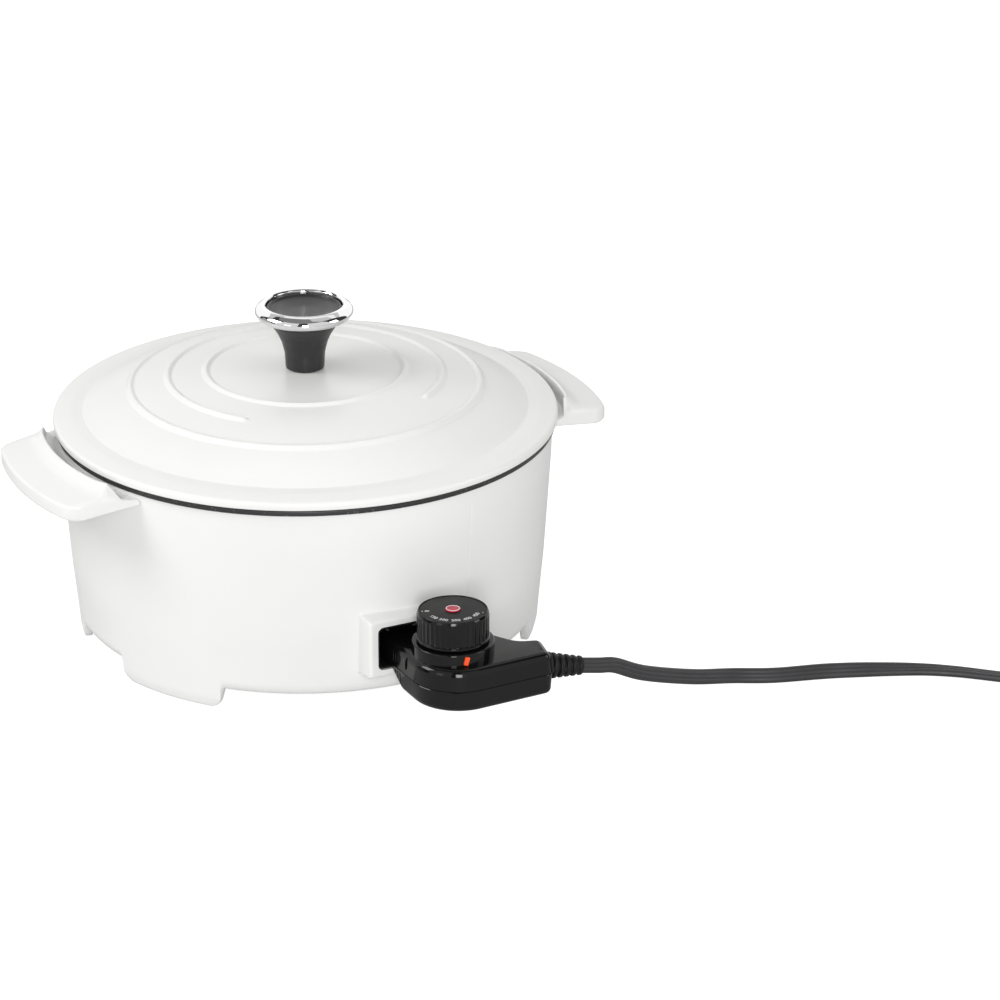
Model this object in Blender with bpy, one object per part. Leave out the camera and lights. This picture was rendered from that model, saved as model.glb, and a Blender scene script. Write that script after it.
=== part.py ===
"""Round electric slow cooker: white shell, dark pot, lift-off lid, and a plug-in probe control on a cord.

Metres, +Z up, standing on z = 0. The pot's axis is vertical at y = POT_Y, the handles lie along X, and the
control plugs into a socket on the -Y side. Shapes are drawn in the pot's own frame, with the pot's axis at
x = y = 0, and each object then takes its origin from the empty of its body.
"""

import math

import bmesh
import bpy
from mathutils import Matrix, Vector

# ---------------------------------------------------------------- driving dimensions
GAP = 0.0003  # air kept between two pieces that touch
STEPS = 40  # facets round a large turned piece
MIDDLE_STEPS = 24  # round the knob, the dial and the like
SMALL_STEPS = 12  # round a pin or a screw

LID_R = 0.140
LID_EDGE_Z = 0.1240  # underside of the lid's lip
LID_TOP_Z = 0.1520  # crown of the lid
LID_WALL = 0.0030
KNOB_TOP_Z = 0.1898

SHELL_TOP_R = 0.1370
SHELL_TOP_Z = 0.1202
SHELL_WALL = 0.0026
SHELL_BOTTOM_Z = 0.0114
FOOT_AZIMUTH = 28.2  # degrees either side of each handle

HANDLE_R = 0.170
HANDLE_HALF_ANGLE = 18.5
SCREW_Z = 0.1120  # two screws from inside the shell hold each handle
SCREW_LEANS = (-9, 9)  # degrees either side of the handle's middle

POT_FLOOR_Z = 0.0469
POT_UNDER_Z = 0.0432
STUD_R = 0.098  # pitch radius of the three pot studs

SOCKET_FRONT = 0.1404  # distance of the socket's front plane from the pot's axis
SOCKET_HALF = 0.0290
SOCKET_LOW, SOCKET_HIGH = 0.0240, 0.0600
RECESS_HALF = 0.0235
RECESS_LOW, RECESS_HIGH = 0.0294, 0.0544
LINER_WALL = 0.0015
LINER_BACK = 0.1180

PIN_Z = 0.0390
PIN_X = 0.0095
PIN_R = 0.0022
PROBE_R = 0.0028

NOSE_Y = -0.196  # foremost point of the control
NOSE_R = 0.027
CONTROL_LOW, PARTING_Z, CONTROL_HIGH = 0.0220, 0.0340, 0.0460
CONTROL_WALL = 0.0022
END_SLANT = 10.6  # degrees by which the control's end wall leans, square to the cord
NECK_HALF = 0.0170
NECK_Y = -0.1245
NECK_LOW = 0.0320

DIAL_X, DIAL_Y = 0.0081, -0.1667
BOSS_R = 0.0222
BOSS_LOW, BOSS_TOP = 0.0448, 0.0528
BOSS_EDGE = 0.0008
SHAFT_HOLE_R = 0.0034
DIAL_LOW, DIAL_HIGH = 0.0538, 0.0700
DIAL_R = 0.0194
FLUTES = 24
LENS_AZIMUTH = -97.0

CORD_R = 0.0043
TABLE_GAP = 0.0001  # air under the cord where it lies on the table
RELIEF_START = Vector((0.0565, -0.1822, 0.0334))
RELIEF_WAY = Vector((0.98, -0.18, -0.13)).normalized()
RELIEF_LENGTH = 0.0200

TURN_R = 0.0385  # innermost turn of the coil
TURN_PITCH = 0.0045
TURNS = 2.25
COIL_WAY = 0.743, -0.669  # where the cord heads as it reaches the coil
COIL_START = Vector((0.3512, -0.2929))  # where the cord meets the innermost turn

POT_Y = (-NOSE_Y - LID_R) / 2  # puts the origin below the middle of the cooker and its control


# ---------------------------------------------------------------- making objects
def material(name, colour, roughness, metallic=0.0):
    made = bpy.data.materials.new(name)
    made.use_nodes = True
    shader = made.node_tree.nodes["Principled BSDF"]
    shader.inputs["Base Color"].default_value = (*colour, 1.0)
    shader.inputs["Roughness"].default_value = roughness
    shader.inputs["Metallic"].default_value = metallic
    return made


def empty(name, place):
    """An empty on a body's joint axis; place is in the pot's frame."""
    made = bpy.data.objects.new(name, None)
    made.location = Vector(place) + Vector((0, POT_Y, 0))
    bpy.context.collection.objects.link(made)
    return made


def piece(name, bm, look, body):
    """The bmesh as an object whose origin lies on its body's empty."""
    bmesh.ops.recalc_face_normals(bm, faces=bm.faces)
    bmesh.ops.translate(bm, verts=bm.verts, vec=Vector((0, POT_Y, 0)) - body.location)
    mesh = bpy.data.meshes.new(name)
    bm.to_mesh(mesh)
    bm.free()
    mesh.shade_smooth()
    mesh.set_sharp_from_angle(angle=math.radians(35))
    made = bpy.data.objects.new(name, mesh)
    made.parent = body
    bpy.context.collection.objects.link(made)
    if look:
        mesh.materials.append(look)
    return made


def pieces(name, shapes, look, body):
    """Several alike pieces, each its own numbered object."""
    for number, shape in enumerate(shapes, 1):
        piece(f"{name}_{number}", shape, look, body)


def combine(target, shapes, operation, label):
    """Add or cut away closed shapes with one exact Boolean; the tool object stays hidden."""
    tool = piece(f"{target.name}_{label}", joined(shapes), None, target.parent)
    tool.hide_render = True
    tool.display_type = "WIRE"
    step = target.modifiers.new(label, "BOOLEAN")
    step.operation = operation
    step.solver = "EXACT"
    step.object = tool


def cut(target, *shapes):
    combine(target, shapes, "DIFFERENCE", "cut")


def weld(target, *shapes):
    combine(target, shapes, "UNION", "weld")


def joined(shapes):
    """Several bmeshes as one, each staying a separate body."""
    whole = bmesh.new()
    for shape in shapes:
        bmesh.ops.recalc_face_normals(shape, faces=shape.faces)
        mesh = bpy.data.meshes.new("joined")
        shape.to_mesh(mesh)
        shape.free()
        whole.from_mesh(mesh)
        bpy.data.meshes.remove(mesh)
    return whole


# ---------------------------------------------------------------- shapes
def skin(rings, ring_closed=False):
    """Quads between successive rings of points, with caps on the first and last unless they close up."""
    bm = bmesh.new()
    rows = [[bm.verts.new(p) for p in ring] for ring in rings]
    pairs = list(zip(rows, rows[1:] + rows[:1])) if ring_closed else list(zip(rows, rows[1:]))
    for low, high in pairs:
        count = max(len(low), len(high))
        for i in range(count):
            j = (i + 1) % count
            corners = (low[i % len(low)], low[j % len(low)], high[j % len(high)], high[i % len(high)])
            face = list(dict.fromkeys(corners))
            if len(face) > 2:
                bm.faces.new(face)
    if not ring_closed:
        for row in (rows[0], rows[-1]):
            if len(row) > 2:
                bm.faces.new(row)
    return bm


def turned(outline, steps=STEPS, shape=None):
    """A closed (radius, z) outline swept round Z; shape may change a point's radius and z with its angle."""
    rings = []
    for r, z in outline:
        if r == 0:
            rings.append([(0, 0, z)])
            continue
        ring = []
        for i in range(steps):
            angle = 2 * math.pi * i / steps
            rr, zz = shape(r, z, i, angle) if shape else (r, z)
            ring.append((rr * math.cos(angle), rr * math.sin(angle), zz))
        rings.append(ring)
    on_axis = outline[0][0] == 0 and outline[-1][0] == 0
    return skin(rings, ring_closed=not on_axis)


def moved(bm, place=(0, 0, 0), turn=None):
    if turn:
        bmesh.ops.transform(bm, matrix=turn.to_4x4(), verts=bm.verts)
    bmesh.ops.translate(bm, verts=bm.verts, vec=Vector(place))
    return bm


def rod(start, end, radius, steps=SMALL_STEPS):
    """A plain cylinder between two points."""
    way = Vector(end) - Vector(start)
    bm = turned([(0, 0), (radius, 0), (radius, way.length), (0, way.length)], steps)
    return moved(bm, start, way.to_track_quat("Z", "Y").to_matrix())


def tube(start, end, outer, inner, steps=SMALL_STEPS):
    """A pipe that is open at both ends."""
    way = Vector(end) - Vector(start)
    outline = [(inner, 0), (outer, 0), (outer, way.length), (inner, way.length)]
    return moved(turned(outline, steps), start, way.to_track_quat("Z", "Y").to_matrix())


def block(low, high, bevel=0.0, segments=2):
    """A box between two corners, with its edges rounded."""
    low, high = Vector(low), Vector(high)
    bm = bmesh.new()
    bmesh.ops.create_cube(bm, size=1.0, matrix=Matrix.Diagonal((*(high - low), 1.0)))
    if bevel:
        bmesh.ops.bevel(bm, geom=bm.edges[:], offset=bevel, segments=segments, profile=0.5, affect="EDGES")
    return moved(bm, (low + high) / 2)


def arc(middle, radius, start, end, count):
    """Points on an arc from one angle to another, in degrees."""
    angles = [math.radians(start + (end - start) * i / (count - 1)) for i in range(count)]
    return [(middle[0] + radius * math.cos(a), middle[1] + radius * math.sin(a)) for a in angles]


def inset(outline, distance):
    """A closed outline moved inwards by a distance; the outline runs anticlockwise."""
    moved_in = []
    count = len(outline)
    for i in range(count):
        before, here, after = (Vector(outline[k % count]) for k in (i - 1, i, i + 1))
        one, two = (here - before).normalized(), (after - here).normalized()
        normal = Vector((-one.y - two.y, one.x + two.x)).normalized()
        lean = max(0.4, normal.dot(Vector((-one.y, one.x))))
        moved_in.append(here + normal * distance / lean)
    return moved_in


def smooth(points, spacing):
    """A Catmull-Rom curve through the points, read about every spacing."""
    route = [Vector(p) for p in points]
    route = [2 * route[0] - route[1], *route, 2 * route[-1] - route[-2]]
    fine = []
    for a, b, c, d in zip(route, route[1:], route[2:], route[3:]):
        for k in range(20):
            t = k / 20
            bend, twist = 2 * a - 5 * b + 4 * c - d, 3 * b - a - 3 * c + d
            fine.append(b + 0.5 * ((c - a) * t + bend * t**2 + twist * t**3))
    fine.append(route[-2])
    travelled = [0.0]
    for a, b in zip(fine, fine[1:]):
        travelled.append(travelled[-1] + (b - a).length)
    count = max(2, round(travelled[-1] / spacing) + 1)
    read, k = [], 0
    for i in range(count):
        at = travelled[-1] * i / (count - 1)
        while k < len(fine) - 2 and travelled[k + 1] < at:
            k += 1
        share = (at - travelled[k]) / (travelled[k + 1] - travelled[k])
        read.append(fine[k].lerp(fine[k + 1], min(1.0, max(0.0, share))))
    return read


def wire(name, points, radius, look, body, resolution=2):
    """A round tube along points, as a bevelled curve with filled caps."""
    curve = bpy.data.curves.new(name, "CURVE")
    curve.dimensions = "3D"
    curve.bevel_depth = radius
    curve.bevel_resolution = resolution
    curve.use_fill_caps = True
    curve.materials.append(look)
    spline = curve.splines.new("POLY")
    spline.points.add(len(points) - 1)
    shift = Vector((0, POT_Y, 0)) - body.location
    for point, place in zip(spline.points, points):
        point.co = (*(place + shift), 1.0)
    made = bpy.data.objects.new(name, curve)
    made.parent = body
    bpy.context.collection.objects.link(made)
    return made


def polar(radius, degrees, z=0.0):
    angle = math.radians(degrees)
    return Vector((radius * math.cos(angle), radius * math.sin(angle), z))


def spin(degrees):
    return Matrix.Rotation(math.radians(degrees), 3, "Z")


# ---------------------------------------------------------------- outer shell, feet and socket
def shell_radius(z):
    """Outside radius of the shell's side at a height."""
    heights = (0.0, 0.0057, 0.022, 0.045, 0.104, SHELL_TOP_Z)
    radii = (0.1274, 0.1290, 0.1303, 0.1325, 0.1365, SHELL_TOP_R)
    for low, high, a, b in zip(heights, heights[1:], radii, radii[1:]):
        if z <= high:
            return a + (b - a) * (z - low) / (high - low)
    return SHELL_TOP_R


def foot(azimuth):
    """A curved tab that carries the shell's side down to the table between two gaps."""
    outline = [(-16.5, 0.0240), (-16.5, 0.0122), (-15.2, 0.0090), (-14.2, 0.0036)]
    outline += [(-12.6, 0.0008), (-11.0, 0.0)]
    rings = []
    for share in (i / 10 for i in range(11)):
        turn = azimuth + 33.0 * (share - 0.5)
        away = abs(turn - azimuth)
        low = 0.0
        for (a, z_a), (b, z_b) in zip(outline[1:], outline[2:]):
            if -b <= away <= -a:
                low = z_b + (z_a - z_b) * (away + b) / (b - a)
        heights = (low, max(low, 0.0057) + 0.0001, 0.0240)
        outer = [polar(shell_radius(z) - 0.0001, turn, z) for z in heights]
        inner = [polar(shell_radius(z) - 0.0045, turn, z) for z in reversed(heights)]
        rings.append(outer + inner)
    return skin(rings)


def outer_shell(body, look):
    inside = SHELL_WALL
    outline = [
        (SHELL_TOP_R, SHELL_TOP_Z),
        (0.1365, 0.1040),
        (0.1325, 0.0450),
        (0.1304, 0.0220),
        (0.1284, 0.0143),
        (0.1249, SHELL_BOTTOM_Z),
        (0.1226, SHELL_BOTTOM_Z),
        (0.1226, 0.0139),
        (0.1120, 0.0139),
        (0.1120, 0.0163),
        (0.1262, 0.0163),
        (0.1325 - inside, 0.0450),
        (0.1365 - inside, 0.1040),
        (SHELL_TOP_R - inside, SHELL_TOP_Z),
    ]
    shell = piece("outer_shell", turned(outline), look, body)
    feet = [foot(side + lean) for side in (0, 180) for lean in (-FOOT_AZIMUTH, FOOT_AZIMUTH)]
    surround = block(
        (-SOCKET_HALF, -SOCKET_FRONT, SOCKET_LOW), (SOCKET_HALF, -0.1255, SOCKET_HIGH), bevel=0.0025
    )
    weld(shell, surround, *feet)
    opening = block((-RECESS_HALF, -0.150, RECESS_LOW), (RECESS_HALF, -0.120, RECESS_HIGH))
    screw_holes = [
        rod(polar(0.130, side + lean, SCREW_Z), polar(0.140, side + lean, SCREW_Z), 0.0020, SMALL_STEPS)
        for side in (0, 180)
        for lean in SCREW_LEANS
    ]
    cut(shell, opening, *screw_holes)


def socket_liner(body, look):
    """Black open-fronted box that lines the socket, with holes for the pins and the probe."""
    half, low, high = RECESS_HALF - GAP, RECESS_LOW + GAP, RECESS_HIGH - GAP

    def frame(y, margin):
        x, bottom, top, round_by = half - margin, low + margin, high - margin, 0.0030 - margin
        corners = []
        for middle, start in (
            ((x - round_by, bottom + round_by), -90),
            ((x - round_by, top - round_by), 0),
            ((-x + round_by, top - round_by), 90),
            ((-x + round_by, bottom + round_by), 180),
        ):
            corners += arc(middle, round_by, start, start + 90, 3)
        return [(a, y, b) for a, b in corners]

    rings = [
        frame(-LINER_BACK, 0),
        frame(-SOCKET_FRONT + 0.0006, 0),
        frame(-SOCKET_FRONT + 0.0006, LINER_WALL),
        frame(-LINER_BACK - LINER_WALL, LINER_WALL),
    ]
    liner = piece("socket_liner", skin(rings), look, body)
    holes = [rod((x, -0.110, PIN_Z), (x, -0.125, PIN_Z), 0.0041) for x in (-PIN_X, 0, PIN_X)]
    cut(liner, *holes)


# ---------------------------------------------------------------- pot and heater
def inner_pot(body, look):
    """Cast pot: its rim rests on the shell's top edge and shows as a dark line under the lid."""
    corner = (0.0960, POT_UNDER_Z + 0.0230)
    outside = [(r, z) for r, z in arc(corner, 0.0230, -90, 0, 4)]
    inside = [(r, z) for r, z in arc(corner, corner[1] - POT_FLOOR_Z, 0, -90, 4)]
    outline = [
        (0, POT_UNDER_Z),
        *outside,
        (0.1315, SHELL_TOP_Z + GAP),
        (0.1388, SHELL_TOP_Z + GAP),
        (0.1388, 0.1230),
        (0.1382, 0.1237),
        (0.1278, 0.1237),
        (0.1269, 0.1225),
        *inside,
        (0, POT_FLOOR_Z),
    ]
    piece("inner_pot", turned(outline), look, body)


def heating_element(body, look):
    """Sheathed ring under the pot's floor, whose two ends run forward to the socket."""
    half = [(PIN_X, -0.1120), (PIN_X, -0.1020), (PIN_X, -0.0920), (0.0145, -0.0800), (0.0265, -0.0690)]
    around = [tuple(polar(0.0740, degrees).xy) for degrees in range(-50, 231, 20)]
    other = [(-x, y) for x, y in reversed(half)]
    route = [(x, y, PIN_Z) for x, y in half + around + other]
    wire("heating_element", smooth(route, 0.0180), 0.0038, look, body)


def terminals(body, steel, ceramic):
    pins = [rod((x, -0.1123, PIN_Z), (x, -0.1390, PIN_Z), PIN_R, SMALL_STEPS) for x in (-PIN_X, PIN_X)]
    pieces("terminal_pin", pins, steel, body)
    beads = [
        tube((x, -0.1155, PIN_Z), (x, -0.1218, PIN_Z), 0.0038, PIN_R + GAP, SMALL_STEPS)
        for x in (-PIN_X, PIN_X)
    ]
    pieces("pin_insulator", beads, ceramic, body)
    outer, inner = 0.0038, PROBE_R + GAP
    outline = [(0, 0), (outer, 0), (outer, 0.0457), (inner, 0.0457), (inner, 0.0015), (0, 0.0015)]
    guide = turned(outline, SMALL_STEPS)
    piece("probe_guide", moved(guide, (0, -0.0720, PIN_Z), Matrix.Rotation(math.pi / 2, 3, "X")), steel, body)


def underside(body, steel, tinplate, plastic):
    """Studs under the pot, the heat shield on their shoulders, and the cover that screws to them."""
    angles = (90, 210, 330)
    shoulder = 0.0217
    stud = [(0, POT_UNDER_Z - GAP), (0.0036, POT_UNDER_Z - GAP), (0.0036, shoulder), (0.0050, shoulder)]
    stud += [(0.0050, 0.0139), (0.0018, 0.0139), (0.0018, 0.0260), (0, 0.0260)]
    studs = [moved(turned(stud, SMALL_STEPS), polar(STUD_R, a)) for a in angles]
    pieces("pot_stud", studs, steel, body)

    low = shoulder + GAP
    shield_outline = [(0.010, low), (0.107, low), (0.110, low + 0.006), (0.1092, low + 0.006)]
    shield_outline += [(0.1062, low + 0.0009), (0.010, low + 0.0009)]
    shield = piece("heat_shield", turned(shield_outline, MIDDLE_STEPS), tinplate, body)
    cut(shield, *[rod(polar(STUD_R, a, 0.015), polar(STUD_R, a, 0.040), 0.0039, SMALL_STEPS) for a in angles])

    top = 0.0139 - GAP
    bottom = SHELL_BOTTOM_Z + 0.0001
    cover_outline = [(0, bottom), (0.1222, bottom), (0.1222, top), (0, top)]
    cover = piece("bottom_cover", turned(cover_outline), plastic, body)
    cut(cover, *[rod(polar(STUD_R, a, 0.005), polar(STUD_R, a, 0.020), 0.0019, SMALL_STEPS) for a in angles])

    head = [(0, 0.0095), (0.0034, 0.0098), (0.0034, bottom - GAP), (0.0015, bottom - GAP)]
    head += [(0.0015, 0.0245), (0, 0.0245)]
    screws = [moved(turned(head, SMALL_STEPS), polar(STUD_R, a)) for a in angles]
    pieces("bottom_screw", screws, steel, body)


# ---------------------------------------------------------------- handles
def handle(name, side, body, look):
    """A short wing that follows the pot's curve, with a ridge beside the lid and a scooped top."""
    profile = [
        (SHELL_TOP_R - 0.0004, 0.1065),
        (0.1560, 0.1079),
        (0.1690, 0.1094),
        (HANDLE_R, 0.1110),
        (HANDLE_R, 0.1158),
        (0.1680, 0.1178),
        (0.1540, 0.1200),
        (0.1508, 0.1214),
        (0.1480, 0.1246),
        (0.1466, 0.1250),
        (0.1455, 0.1232),
        (0.1445, 0.1175),
        (SHELL_TOP_R + GAP, 0.1175),
    ]
    turns = [-18.5, -18.1, -17.0, -14.0, -9.0, -4.0, 0.0, 4.0, 9.0, 14.0, 17.0, 18.1, 18.5]
    rings = []
    for turn in turns:
        left = HANDLE_HALF_ANGLE - abs(turn)
        pull = 0.006 * max(0.0, 1 - left / 2.5) ** 2
        thin = 0.0012 * max(0.0, 1 - left / 0.5)
        ring = []
        for r, z in profile:
            reach = (r - SHELL_TOP_R) / (HANDLE_R - SHELL_TOP_R)
            height = z - thin if z > 0.1130 else z + thin
            ring.append(polar(r - pull * max(0.0, reach), turn, height))
        rings.append(ring)
    made = piece(name, moved(skin(rings), turn=spin(side)), look, body)
    holes = [
        rod(polar(0.130, side + lean, SCREW_Z), polar(0.1515, side + lean, SCREW_Z), 0.0018, SMALL_STEPS)
        for lean in SCREW_LEANS
    ]
    cut(made, *holes)


def handle_screws(body, look):
    outline = [(0, 0), (0.0036, 0), (0.0036, 0.0016), (0.0015, 0.0018), (0.0015, 0.0170), (0, 0.0170)]
    screws = []
    for azimuth in [side + lean for side in (0, 180) for lean in SCREW_LEANS]:
        screw = turned(outline, SMALL_STEPS)
        turn = spin(azimuth) @ Matrix.Rotation(math.pi / 2, 3, "Y")
        screws.append(moved(screw, polar(0.1321, azimuth, SCREW_Z), turn))
    pieces("handle_screw", screws, look, body)


# ---------------------------------------------------------------- lid
RINGS = ((0.0972, 0.0011), (0.0762, 0.0011), (0.0550, 0.0010))  # radius and height of the raised rings
OPEN_RING = 0.0762
OPEN_FROM, OPEN_TO = -140.5, -54.8  # the middle ring stops here, in degrees


def dome(r):
    """Height of the lid's upper face inside its flange."""
    return LID_TOP_Z - 0.0190 * (r / 0.119) ** 3.6


def lid(body, look):
    crown = [(0.1175, dome(0.1175)), (0.1080, dome(0.1080))]
    for radius, height in RINGS:
        crown += [(radius + 0.0024, dome(radius + 0.0024)), (radius, dome(radius) + height)]
        crown += [(radius - 0.0024, dome(radius - 0.0024))]
    outline = [
        (0.0030, LID_TOP_Z),
        (0.0030, LID_TOP_Z - LID_WALL),
        (0.0600, dome(0.0600) - LID_WALL),
        (0.0850, dome(0.0850) - LID_WALL - 0.0004),
        (0.1050, dome(0.1050) - LID_WALL - 0.0010),
        (0.1185, 0.1283),
        (0.1215, 0.1262),
        (0.1218, 0.1196),
        (0.1243, 0.1196),
        (0.1252, LID_EDGE_Z),
        (LID_R, LID_EDGE_Z),
        (LID_R, 0.1281),
        (0.1390, 0.1289),
        (0.1255, 0.1303),
        (0.1215, 0.1316),
        *crown,
    ]

    def with_open_ring(r, z, step, angle):
        degrees = math.degrees(angle)
        degrees = degrees - 360 if degrees > 180 else degrees
        if r == OPEN_RING and OPEN_FROM < degrees < OPEN_TO:
            return r, dome(r)
        return r, z

    piece("lid", turned(outline, shape=with_open_ring), look, body)


def knob(body, dark, chrome, steel):
    base = LID_TOP_Z + GAP
    stem = [
        (0, base + 0.0160),
        (0.0028, base + 0.0160),
        (0.0028, base),
        (0.0107, base),
        (0.0112, base + 0.0090),
        (0.0128, base + 0.0155),
        (0.0148, base + 0.0200),
        (0.0172, base + 0.0238),
        (0.0194, base + 0.0268),
        (0.0196, base + 0.0306),
        (0, base + 0.0306),
    ]
    piece("knob_stem", turned(stem, MIDDLE_STEPS), dark, body)
    ring = [
        (0.0199, KNOB_TOP_Z - 0.0087),
        (0.0212, KNOB_TOP_Z - 0.0093),
        (0.0262, KNOB_TOP_Z - 0.0070),
        (0.0275, KNOB_TOP_Z - 0.0043),
        (0.0262, KNOB_TOP_Z - 0.0022),
        (0.0236, KNOB_TOP_Z - 0.0005),
        (0.0213, KNOB_TOP_Z),
        (0.0199, KNOB_TOP_Z - 0.0012),
    ]
    piece("knob_ring", turned(ring, MIDDLE_STEPS), chrome, body)
    low = base + 0.0306 + GAP
    insert = [(0, low), (0.0196, low), (0.0196, low + 0.0034), (0.0186, low + 0.0036), (0, low + 0.0030)]
    piece("knob_insert", turned(insert, MIDDLE_STEPS), dark, body)
    under = LID_TOP_Z - LID_WALL - GAP
    washer = [(0.0028, under - 0.0012), (0.0080, under - 0.0012), (0.0080, under), (0.0028, under)]
    piece("knob_washer", turned(washer, SMALL_STEPS), steel, body)
    seat = under - 0.0012 - GAP
    screw = [(0, seat - 0.0026), (0.0044, seat - 0.0022), (0.0050, seat), (0.0024, seat)]
    screw += [(0.0024, base + 0.0130), (0, base + 0.0130)]
    piece("knob_screw", turned(screw, SMALL_STEPS), steel, body)


# ---------------------------------------------------------------- control
def control_plan():
    """The control's outline at its parting line, seen from above, anticlockwise."""
    nose = (NOSE_R - NECK_HALF, NOSE_Y + NOSE_R)
    plan = [(-NECK_HALF, NECK_Y), (-NECK_HALF, -0.1400), (-NECK_HALF, -0.1560)]
    plan += arc(nose, NOSE_R, 180, 270, 7)
    plan += [(0.0290, -0.1955)]
    plan += arc((0.0501, -0.1897), 0.0050, 270, 360 - END_SLANT, 4)
    plan += arc((0.0526, -0.1762), 0.0050, -END_SLANT, 70, 4)
    plan += [(0.0460, -0.1680), (0.0415, -0.1612), (0.0370, -0.1535), (0.0300, -0.1470), (0.0225, -0.1440)]
    plan += [(NECK_HALF, -0.1425), (NECK_HALF, NECK_Y)]
    return plan


def level(plan, distance, z):
    return [(p[0], p[1], z) for p in inset(plan, distance)]


SCREW_PLACES = ((-0.0085, -0.1760), (0.0270, -0.1865), (0.0445, -0.1790))


def control_top_shell(body, look):
    plan = control_plan()
    high, wall = CONTROL_HIGH, CONTROL_WALL
    rings = [
        level(plan, 0.0039, high),
        level(plan, 0.0013, high - 0.0015),
        level(plan, 0.0, PARTING_Z + GAP / 2),
        level(plan, wall, PARTING_Z + GAP / 2),
        level(plan, wall + 0.0014, high - wall),
    ]
    shell = piece("control_top_shell", skin(rings), look, body)
    middle = (DIAL_X, DIAL_Y, 0)
    boss = [(0, BOSS_LOW), (BOSS_R, BOSS_LOW), (BOSS_R, BOSS_TOP - BOSS_EDGE), (BOSS_R - BOSS_EDGE, BOSS_TOP)]
    boss.append((0, BOSS_TOP))
    posts = [rod((x, y, 0.0246), (x, y, 0.0445), 0.0031, SMALL_STEPS) for x, y in SCREW_PLACES]
    weld(shell, moved(turned(boss, MIDDLE_STEPS), middle), *posts)
    room, hollow_r, floor = BOSS_TOP - wall, 0.0195, 0.0395
    hollow = [(0, floor), (hollow_r, floor), (hollow_r, room), (SHAFT_HOLE_R, room)]
    hollow += [(SHAFT_HOLE_R, 0.060), (0, 0.060)]
    hollow = moved(turned(hollow, MIDDLE_STEPS), middle)
    window = block((0.0180, -0.0016, 0.0466), (0.0240, 0.0016, 0.0516))
    window = moved(moved(window, turn=spin(LENS_AZIMUTH)), middle)
    mouth = block((-0.0137, -0.1290, 0.0330), (0.0137, -0.1200, 0.0430))
    relief = rod(RELIEF_START - RELIEF_WAY * 0.006, RELIEF_START + RELIEF_WAY * 0.006, 0.0051)
    bores = [rod((x, y, 0.020), (x, y, 0.0360), 0.0017, SMALL_STEPS) for x, y in SCREW_PLACES]
    cut(shell, hollow, mouth, relief, *bores)
    combine(shell, [window], "DIFFERENCE", "window")


def wedge(low_y, drop_y, neck_z, floor_z):
    """A prism below the neck's underside, sloping down to the body's floor."""
    side = [(-0.1150, neck_z), (low_y, neck_z), (drop_y, floor_z), (-0.1150, floor_z)]
    return skin([[(x, y, z) for y, z in side] for x in (-0.040, 0.040)])


def control_bottom_shell(body, look):
    plan = control_plan()
    low, wall, top = CONTROL_LOW, CONTROL_WALL, PARTING_Z - GAP / 2
    outer = [level(plan, 0.0, top), level(plan, 0.0018, 0.0246), level(plan, 0.0040, low)]
    shell = piece("control_bottom_shell", skin(outer), look, body)
    cut(shell, wedge(-0.1430, -0.1585, NECK_LOW, low - 0.0010))

    inner = [level(plan, wall, top + 0.002), level(plan, wall + 0.0018, low + wall)]
    cavity = piece("control_bottom_cavity", skin(inner), None, body)
    cavity.hide_render = True
    cavity.display_type = "WIRE"
    combine(cavity, [wedge(-0.1455, -0.1612, 0.0400, low - 0.0010)], "DIFFERENCE", "slope")
    hollow = shell.modifiers.new("hollow", "BOOLEAN")
    hollow.operation = "DIFFERENCE"
    hollow.solver = "EXACT"
    hollow.object = cavity

    holes = []
    for x, y in SCREW_PLACES:
        outline = [(0, 0.0200), (0.0030, 0.0200), (0.0030, 0.0233), (0.0017, 0.0233)]
        outline += [(0.0017, 0.0300), (0, 0.0300)]
        holes.append(moved(turned(outline, SMALL_STEPS), (x, y, 0)))
    relief = rod(RELIEF_START - RELIEF_WAY * 0.006, RELIEF_START + RELIEF_WAY * 0.006, 0.0051)
    combine(shell, [relief, *holes], "DIFFERENCE", "holes")


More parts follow.
